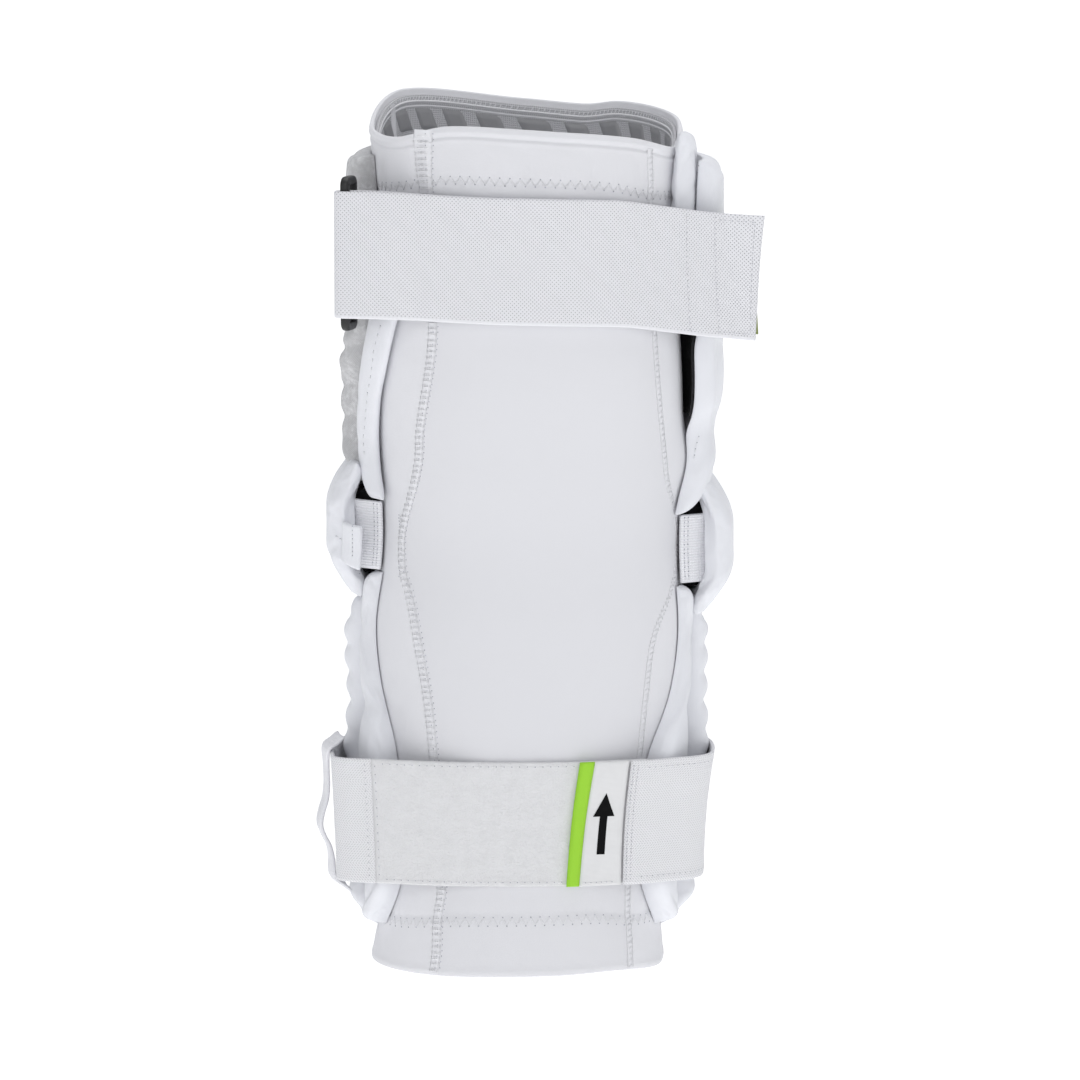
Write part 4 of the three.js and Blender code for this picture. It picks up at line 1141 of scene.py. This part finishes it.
lowerRows = {
    "at": [-200, -190, -180, -172, -163, -156, -145, -130, -115, -100, -70, -58, -46, -34, -24, -17, -8, 2, 12],
    "left": [1.03, 1.02, 1.06, 1.15, 1.31, 1.44, 0.8, 0.36, 0.15, 0, 0, 0, 0, 0, 0, 0, 0, 0, 0],
    "right": [0, 0, 0, 0, 0, 0, 0, 0, 0, 0, 0, 0.06, 0.25, 0.53, 0.96, 1.1, 1.03, 1, 1],
}
strapContact = seatGap + strap["thickness"] + strap["layerGap"] / 2
upperReach = shellInner + rollSpace + upper["thickness"] + pieceGap + strap["layerGap"]
lowerContact = seatGap + strap["thickness"] / 2
lowerLeftReach = seatGap + forearm["thickness"] * 1.22 + pieceGap + strap["thickness"] / 2 + 1
lowerRightReach = seatGap + forearm["thickness"] * 1.38 + pieceGap * 2 + strap["thickness"] / 2


def upperLine(angle, across):
    angle, across = np.broadcast_arrays(np.asarray(angle, float), np.asarray(across, float))
    left = readRow(upperRows, "left", angle) * (strap["loopStandOff"] - strapContact)
    right = readRow(upperRows, "right", angle) * (upperReach - strapContact)
    middle = strap["upperCentre"] + readRow(upperRows, "rise", angle) * strap["width"]
    z = middle + (across - 0.5) * strap["width"]
    point = lifted(angle, mix(z, middle, smooth(-angle, 120, 145)), strapContact + left + right)
    point[..., 2] = z
    return point


def lowerLine(angle, across):
    angle, across = np.broadcast_arrays(np.asarray(angle, float), np.asarray(across, float))
    left = readRow(lowerRows, "left", angle) * (lowerLeftReach - lowerContact)
    right = readRow(lowerRows, "right", angle) * (lowerRightReach - lowerContact)
    return lifted(angle, strap["lowerCentre"] + (across - 0.5) * strap["width"], lowerContact + left + right)


def beside(line, angle, across, side, ahead=0.0):
    point = line(angle, across)
    along = line(angle + 0.5, across) - line(angle - 0.5, across)
    along[..., 2] = 0
    along /= np.linalg.norm(along, axis=-1, keepdims=True)
    out = np.stack([along[..., 1], -along[..., 0], 0 * along[..., 0]], axis=-1)
    return point + out * np.asarray(side)[..., None] + along * np.asarray(ahead)[..., None]


def resample(points, spacing):  # smooth curve through rows of points, at even steps
    at = pathLength(points, 0)
    return curveThrough(at, points, np.linspace(0, at[-1], max(int(at[-1] / spacing), 3)))


def surfaceNormals(grid):
    along = np.gradient(grid, axis=0)
    wide = np.gradient(grid, axis=1)
    normal = np.cross(along, wide)
    return normal / np.maximum(np.linalg.norm(normal, axis=-1, keepdims=True), 1e-9)


selvedge = np.concatenate([[0, 0.003, 0.008, 0.016, 0.03, 0.05], np.linspace(0.08, 0.92, 26),
                           [0.95, 0.97, 0.984, 0.992, 0.997, 1.0]])
middleColumn = len(selvedge) // 2 - 1


class Ribbon:
    def __init__(self, path, thickness, spacing=1.3, waves=0.0):
        self.middle = resample(np.stack([place(selvedge) for place in path]), spacing)
        self.normal = surfaceNormals(self.middle)
        self.thickness, self.side = thickness, 1.0
        row = np.arange(len(self.middle))
        self.length = np.linalg.norm(np.diff(self.middle[:, middleColumn], axis=0), axis=-1).sum()
        width = np.linalg.norm(np.diff(self.middle[row.size // 2], axis=0), axis=-1).sum()
        edge = np.minimum(selvedge, 1 - selvedge) * width
        end = np.minimum(row, row[::-1]) * self.length / max(row.size - 1, 1)
        self.half = thickness / 2 * edgeFullness(edge, 0.9, 0.25) * edgeFullness(end, 0.6, 0.6)[:, None]
        if waves:  # the loose edges ripple a little
            ripple = waves * np.sin(row * spacing * 0.6) * np.sin(row * spacing * 0.113 + 1)
            self.middle = self.middle + self.normal * (ripple[:, None] * (2 * np.abs(selvedge - 0.5))**3)[..., None]

    def mesh(self, name, finish):
        half = self.half[..., None] * self.normal
        top, bottom = self.middle + half, self.middle - half
        grid = np.concatenate([top, bottom[:, ::-1]], axis=1)
        made = gridMesh(name, grid, finish, closedV=True, capEnds=True)
        faceOut(made)
        return made

    def at(self, along, across, lift=0.0):  # along in millimetres from the start, or from the end if negative
        along = np.asarray(along, float)
        along = np.where(along < 0, self.length + along, along)
        rows = self.middle.shape[0]
        place = np.clip(along / self.length * (rows - 1), 0, rows - 1.001)
        across = np.clip(np.asarray(across, float), 0, 1)
        k = place.astype(int)
        t = place - k
        j = np.clip(np.searchsorted(selvedge, across) - 1, 0, len(selvedge) - 2)
        s = (across - selvedge[j]) / (selvedge[j + 1] - selvedge[j])
        t, s = t[..., None], s[..., None]

        def read(field):
            return (field[k, j] * (1 - t) + field[k + 1, j] * t) * (1 - s) + (
                field[k, j + 1] * (1 - t) + field[k + 1, j + 1] * t) * s
        normal = read(self.normal)
        return read(self.middle) + normal * self.side * (self.thickness / 2 + lift), normal * self.side

    def sew(self, name, along, across, alongEnd, acrossEnd, radius=0.16, rise=0.1):
        start, normal = self.at(along, across)
        stitches(name, start, self.at(alongEnd, acrossEnd)[0], normal, radius, rise)

    # dark discs of painted shade where the needle went through
    def shadeNeedleHoles(self, name, along, across, radius=0.22):
        holeShades(name, *self.at(along, across), radius)

    def sewRow(self, name, row):
        self.sew(name, *row)
        self.shadeNeedleHoles(name + "_holes", *row[2:])


def stitchLine(low, high, count):
    start = low + (high - low) * np.arange(count) / count
    return start, start + (high - low) / count * 0.62


def rowAcross(along, low, high, pitch):  # places of a stitch line across the strap
    start, end = stitchLine(low, high, int((high - low) * strap["width"] / pitch))
    return np.full(start.size, along), start, np.full(start.size, along), end


def rowAlong(across, low, high, pitch):
    start, end = stitchLine(low, high, int(abs(high - low) / pitch))
    return start, np.full(start.size, across), end, np.full(start.size, across)


def strapEnd(share, across, side, slant):  # the loose end sticks out past the pad
    point = beside(upperLine, mix(strap["end"] - 4.5, strap["end"], share), across, side)
    point[..., 0] += share**1.5 * (strap["flare"] + slant)
    return point


def buildUpperStrap():
    layerHalf = (strap["thickness"] + strap["layerGap"]) / 2
    barRound = strap["loopBar"] * math.sqrt(0.5)
    foldHalf = barRound + pieceGap + strap["thickness"] / 2
    foldAngle = upperRows["at"][0] + 0.5

    def spacing(angle):
        return float(mix(layerHalf, foldHalf, 1 - smooth(angle, foldAngle + 2, foldAngle + 26)))
    path, first, last = [], strap["start"], strap["end"] - 6.5
    for angle in np.arange(first, foldAngle + 1, -strap["step"]):  # the layer beneath, the fold, the layer on top
        path.append(lambda s, a=angle: beside(upperLine, a, s, -spacing(a)))
    for bend in np.radians(np.arange(-90, 91, 15)):
        path.append(lambda s, b=bend: beside(upperLine, foldAngle, s, foldHalf * math.sin(b),
                                             -foldHalf * math.cos(b)))
    for angle in np.arange(foldAngle + strap["step"], last, strap["step"]):
        path.append(lambda s, a=angle: beside(upperLine, a, s, spacing(a)))
    for share in (0, 0.25, 0.5, 0.75, 1):
        path.append(lambda s, w=share: strapEnd(w, s, layerHalf, strap["slant"] * (s - 0.5)))
    ribbon = Ribbon(path, strap["thickness"])
    made = ribbon.mesh("upper_elastic_strap", "birdEye")
    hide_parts("upper_strap")
    for n, row in enumerate((rowAcross(-19, 0.02, 0.98, 2.2), rowAlong(0.945, -18, -3, 2.2),
                             rowAlong(0.05, -18, -3, 2.2), rowAcross(-3.2, 0.06, 0.94, 2.2),
                             rowAcross(-32.5, 0.02, 0.98, 2.4))):
        ribbon.sewRow(f"upper_strap_stitch_{n}", row)
    hookSide = layerHalf - strap["thickness"] / 2 - pieceGap - strap["hookThickness"] / 2
    tall = strap["hookTall"] / strap["width"]
    hook = Ribbon([lambda s, w=w: strapEnd(w, 0.5 + (s - 0.5) * tall, hookSide, -0.6) for w in (0.35, 0.6, 0.8, 1)],
                  strap["hookThickness"], spacing=0.8)
    made = hook.mesh("strap_hook_patch", "olive")
    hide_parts("strap_hook_tab")
    return foldAngle, barRound


foldAngle, barRound = buildUpperStrap()


def buildLoop():
    nearBar = upperLine(np.array(foldAngle), np.array(0.5))
    farBar = lifted(strap["loopFarAngle"], nearBar[2], strap["loopStandOff"] - strap["loopTilt"])
    along = farBar - nearBar
    along[2] = 0
    along /= np.linalg.norm(along)
    up = np.array([0.0, 0.0, 1.0])
    out = np.cross(along, up)
    halfTall = strap["loopLength"] / 2 - strap["loopBar"] / 2
    halfDeep = strap["loopDepth"] / 2 - strap["loopBar"] / 2
    corner, centre, tangent = strap["loopCorner"], [], []
    for cx, cy, start in ((halfDeep, halfTall, 0), (-halfDeep, halfTall, 90), (-halfDeep, -halfTall, 180),
                          (halfDeep, -halfTall, 270)):
        for bend in np.linspace(start, start + 90, 8):
            c, s = math.cos(math.radians(bend)), math.sin(math.radians(bend))
            centre.append((cx - math.copysign(corner, cx) + corner * c, cy - math.copysign(corner, cy) + corner * s))
            tangent.append((c, s))
    centre, tangent = np.array(centre), np.array(tangent)
    bend = np.linspace(0, 2 * np.pi, 20, endpoint=False)
    bar = strap["loopBar"] / 2
    crossIn, crossOut = bar * power(np.cos(bend), 0.6), bar * power(np.sin(bend), 0.6)
    flat = centre[:, None] + tangent[:, None] * crossIn[None, :, None]
    grid = nearBar + (flat[..., :1] + halfDeep) * along + flat[..., 1:] * up + crossOut[None, :, None] * out
    made = gridMesh("moulded_loop", grid, "plastic", closedU=True, closedV=True, subdivide=1)
    faceOut(made)
    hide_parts("strap_loop")
    farBarAt = nearBar + along * (strap["loopDepth"] - strap["loopBar"])
    lift = seatGap + upper["sideThickness"] + pieceGap + strap["keeperThickness"] / 2 + 1.2
    fold = barRound + strap["layerGap"] * 3 + strap["keeperThickness"] / 2
    path = []
    for angle in (172, 178, 184, 190):
        path.append(lambda s, a=angle: lifted(a, nearBar[2] + (s - 0.5) * strap["keeperWidth"], lift))
    for bend in np.radians(np.arange(90, -91, -15)):
        place = farBarAt - along * fold * math.cos(bend) + out * fold * math.sin(bend)
        path.append(lambda s, p=place: p + up * ((s - 0.5) * strap["keeperWidth"] + nearBar[2] - p[2])[:, None])
    keeper = Ribbon(path, strap["keeperThickness"])
    made = keeper.mesh("loop_webbing", "ribbed")
    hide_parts("strap_loop_keeper")


buildLoop()
print("upper strap and loop done")

label = {"thickness": 1.5, "edgeThickness": 1.9, "edgeTop": 21.6, "edgeBottom": 18.4, "innerTop": 27.2,
         "innerBottom": 23.4, "end": 40.6, "pileStart": -59.0, "tabEnd": 41.0, "pileThickness": 2.0,
         "arrowTall": 25, "arrowWide": 9.0, "arrowStem": 3.2, "arrowPlace": 7.3}


def angleAcross(x):
    low, high = np.full(np.shape(x), -150.0), np.full(np.shape(x), -20.0)
    for _ in range(40):
        middle = (low + high) / 2
        left = lowerLine(middle, 0.5 + 0 * middle)[..., 0] < x
        low, high = np.where(left, middle, low), np.where(left, high, middle)
    return (low + high) / 2


def lowerRibbon(name, node, finish, start, end, side, thickness, waves=0.0):
    count = max(int(abs(np.mean(end - start)) / strap["step"]), 3)
    path = [lambda s, a=mix(start, end, w): beside(lowerLine, a, s, given(side, a))
            for w in np.linspace(0, 1, count + 1)]
    ribbon = Ribbon(path, thickness, waves=waves)
    made = ribbon.mesh(name, finish)
    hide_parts(node)
    return ribbon, made


def buildLowerStrap():
    pileStart, tabEnd = (float(angleAcross(np.array(label[side]))) for side in ("pileStart", "tabEnd"))
    left, made = lowerRibbon("lower_elastic_left", "lower_strap_left", "chevron", -199, pileStart - 0.2, 0,
                             strap["thickness"])
    pile, made = lowerRibbon("lower_pile", "lower_pile_strip", "pile", pileStart - 0.4, tabEnd + 8, 0,
                             label["pileThickness"], waves=0.15)
    step = strap["thickness"] + strap["layerGap"]
    right, made = lowerRibbon("lower_elastic_right", "lower_strap_right", "chevron", tabEnd + 0.5, 12,
                              lambda a: step * (1 - smooth(a, tabEnd + 10, tabEnd + 24)), strap["thickness"])
    onPile = (label["pileThickness"] + label["thickness"]) / 2 + pieceGap
    edge, inner = (angleAcross(mix(label[side + "Bottom"], label[side + "Top"], selvedge)) for side in
                   ("edge", "inner"))
    _, made = lowerRibbon("pull_tab_green_edge", "pull_tab_edge", "green", edge, inner, onPile,
                          label["edgeThickness"])
    satinTab, made = lowerRibbon("pull_tab_satin", "pull_tab", "satin", inner,
                                 angleAcross(label["end"] + 0 * selvedge), onPile, label["thickness"])
    for ribbon, name, rows in (
            (left, "lower_left_stitch", [rowAcross(-3.0, 0.03, 0.97, 2.6)]),
            (pile, "lower_pile_stitch", [rowAcross(1.6, 0.03, 0.97, 3.4), rowAlong(0.035, 3, 105, 3.0),
                                         rowAlong(0.965, 3, 105, 3.0)]),
            (right, "lower_right_stitch", [rowAcross(1.2, 0.03, 0.97, 1.5), rowAcross(3.0, 0.03, 0.97, 1.5),
                                           rowAlong(0.94, 6, 46, 2.4), rowAlong(0.06, 6, 46, 2.4)]),
            (satinTab, "satin_stitch", [rowAlong(0.03, 1, 13, 1.8)])):
        for n, row in enumerate(rows):
            ribbon.sewRow(f"{name}_{n}", row)
    printArrow(satinTab)


def printArrow(ribbon):  # a stem and a head, as two faces just above the tab
    wide, stem, perSide = label["arrowWide"] / 2, label["arrowStem"] / 2, 12
    outline = [(-stem, -0.5), (stem, -0.5), (stem, 0.12), (wide, 0.12), (0, 0.5), (-wide, 0.12), (-stem, 0.12)]
    points = [(mix(x, nextX, t), mix(y, nextY, t))
              for (x, y), (nextX, nextY) in zip(outline, outline[1:] + outline[:1])
              for t in np.linspace(0, 1, perSide, endpoint=False)]
    across, up = np.array(points).T
    centre, _ = ribbon.at(label["arrowPlace"] + across, 0.5 + up * label["arrowTall"] / strap["width"], 0.12)
    stemFace = [*range(2 * perSide + 1), *range(6 * perSide, 7 * perSide)]
    headFace = list(range(2 * perSide, 6 * perSide + 1))
    mesh = bpy.data.meshes.new("plain_arrow")
    mesh.from_pydata((centre * mm).tolist(), [], [stemFace, headFace])
    mesh.uv_layers.new(name="weave")
    arrow = bpy.data.objects.new("plain_arrow", mesh)
    scene.collection.objects.link(arrow)
    mesh.materials.append(finishes["ink"])
    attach(arrow, "root")


buildLowerStrap()

slotRows = {"at": [0, 0.04, 0.08, 0.2, 0.28, 0.35, 0.42, 0.5, 0.58, 0.68, 0.8, 0.92, 0.96, 1],
            "out": [0, 0.5, 1, 1.04, 1.18, 1.5, 1.68, 1.52, 1.24, 1.08, 1.04, 1, 0.5, 0],
            "span": [12, 12, 11, 9, 8, 8, 8, 8, 8, 8, 8, 11, 12, 12]}
keeper = {"angle": -171, "span": 9, "height": 63, "thickness": 1.8, "lift": 1.2}


def buildKeeper():
    seat = seatGap + forearm["thickness"] * 1.22 + pieceGap + keeper["thickness"] / 2
    reach = lowerContact + keeper["lift"] * (lowerLeftReach - lowerContact) + pieceGap * 2 + (
        strap["thickness"] + keeper["thickness"]) / 2
    bottom = strap["lowerCentre"] - keeper["height"] / 2
    start = keeper["angle"] - keeper["span"] / 2
    path = [lambda s, v=at, o=out, w=span: lifted(start + (1 - s) * w, bottom + v * keeper["height"],
                                                  mix(seat, reach, o))
            for at, out, span in zip(slotRows["at"], slotRows["out"], slotRows["span"])]
    made = Ribbon(path, keeper["thickness"], spacing=1.0).mesh("strap_slot_keeper", "ribbed")
    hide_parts("lower_strap_keeper")


buildKeeper()
print("lower strap done")

bandRows = {"at": [0, 0.35, 0.7, 1], "out": [0, 0.3, 0.7, 1]}


def tabPlace(across, share):  # the folded tab, slanted, from the cap's edge in toward the band
    lift = capInner + elbow["thickness"] / 2 - share * elbow["tabDrop"] + 1.2 * math.sin(share * 3)
    narrow = 1 - 0.24 * (1 - share) * (1 - across)
    z = elbow["bandLeft"] - 3 - share * elbow["tabSlant"] + (across - 0.5) * elbow["tabHeight"] * narrow
    return lifted(mix(90 + elbow["wrap"] / 2 + 0.6, elbow["tabEnd"], share), z, lift)


def buildBands():
    foot = seatGap + elbow["bandThickness"] / 2
    head = capInner - pieceGap - elbow["bandThickness"] / 2
    for side in ("left", "right"):
        name, key = "elbow_elastic_" + side, "band" + side.capitalize()
        path = [lambda s, w=w: lifted(mix(elbow[key + "Foot"], elbow[key + "Head"], w),
                                      elbow[key] + (s - 0.5) * elbow["bandHeight"],
                                      mix(foot, head, readRow(bandRows, "out", w)))
                for w in np.linspace(0, 1, 9)]  # from the sleeve out to the cap
        ribbon = Ribbon(path, elbow["bandThickness"], spacing=0.9)
        made = ribbon.mesh(name, "ribbed")
        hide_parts("elbow_band_" + side)
        ribbon.side = -math.copysign(1.0, ribbon.normal[2, middleColumn, 1])
        across = np.linspace(0.04, 0.9, 14)
        for n, along in enumerate((1.6, 3.4)):
            place = np.full(across.size, along)
            ribbon.sew(f"{name}_stitch_{n}", place, across, place, across + 0.045, 0.2, 0.15)
            ribbon.shadeNeedleHoles(f"{name}_holes_{n}", place, across + 0.06, 0.3)
    made = Ribbon([lambda s, w=w: tabPlace(s, w) for w in (0, 0.3, 0.6, 1)], elbow["tabThickness"],
                  spacing=0.7).mesh("elbow_webbing_tab", "pad")
    frontRow("tab_stitches", [made], [(-68.4, 5.6), (-68.4, -8)], 1.7)
    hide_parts("elbow_tab_left")


buildBands()
print("bands and tab done")


# camera, floor and light

view = {"lens": 200, "sensor": 36, "across": 0.432, "aimX": 0.0076, "near": 0.045}
studio = {"floor": -0.62, "floorHalf": 40, "floorColour": (0.97, 0.97, 0.97, 1), "floorRoughness": 0.95,
          "floorGlow": 0.72, "sky": (0.95, 0.97, 1.0, 1), "skyStrength": 0.44}
lamps = {  # place, size, watts
    "front": ((-0.5, -1.7, 0.9), 1.1, 6.5), "top": ((0.2, 0.1, 1.6), 1.4, 13),
    "right": ((1.5, -0.9, 0.4), 1.0, 2), "back": ((0, 1.6, 0.6), 1.4, 3),
}


def addObject(name, data):
    made = bpy.data.objects.new(name, data)
    scene.collection.objects.link(made)
    return made


def buildStage():
    camera = addObject("camera", bpy.data.cameras.new("camera"))
    camera.data.lens, camera.data.sensor_width, camera.data.clip_end = view["lens"], view["sensor"], 50
    distance = view["across"] * view["lens"] / view["sensor"] + view["near"]
    camera.location = (view["aimX"], -distance * math.cos(look), distance * math.sin(look))
    camera.rotation_euler = (math.radians(90) - look, 0, 0)
    scene.camera = camera
    mesh, half = bpy.data.meshes.new("floor"), studio["floorHalf"]
    mesh.from_pydata([(-half, -half, 0), (half, -half, 0), (half, half, 0), (-half, half, 0)], [], [(0, 1, 2, 3)])
    floor = addObject("floor", mesh)
    floor.location.z = studio["floor"]
    paint = bpy.data.materials.new("floorWhite")
    paint.use_nodes = True
    for key, value in (("Base Color", studio["floorColour"]), ("Roughness", studio["floorRoughness"]),
                       ("Emission Color", (1, 1, 1, 1)), ("Emission Strength", studio["floorGlow"])):
        paint.node_tree.nodes["Principled BSDF"].inputs[key].default_value = value
    mesh.materials.append(paint)
    scene.world = bpy.data.worlds.new("studio")
    scene.world.use_nodes = True
    back = scene.world.node_tree.nodes["Background"]
    back.inputs["Color"].default_value, back.inputs["Strength"].default_value = studio["sky"], studio["skyStrength"]
    for name, (place, size, watts) in lamps.items():
        lamp = addObject(name + "_light", bpy.data.lights.new(name, "AREA"))
        lamp.data.size, lamp.data.energy = size, watts
        lamp.location = place
        lamp.rotation_euler = (-Vector(place)).to_track_quat("-Z", "Y").to_euler()
    scene.view_settings.view_transform = "Standard"


buildStage()
print("stage done")
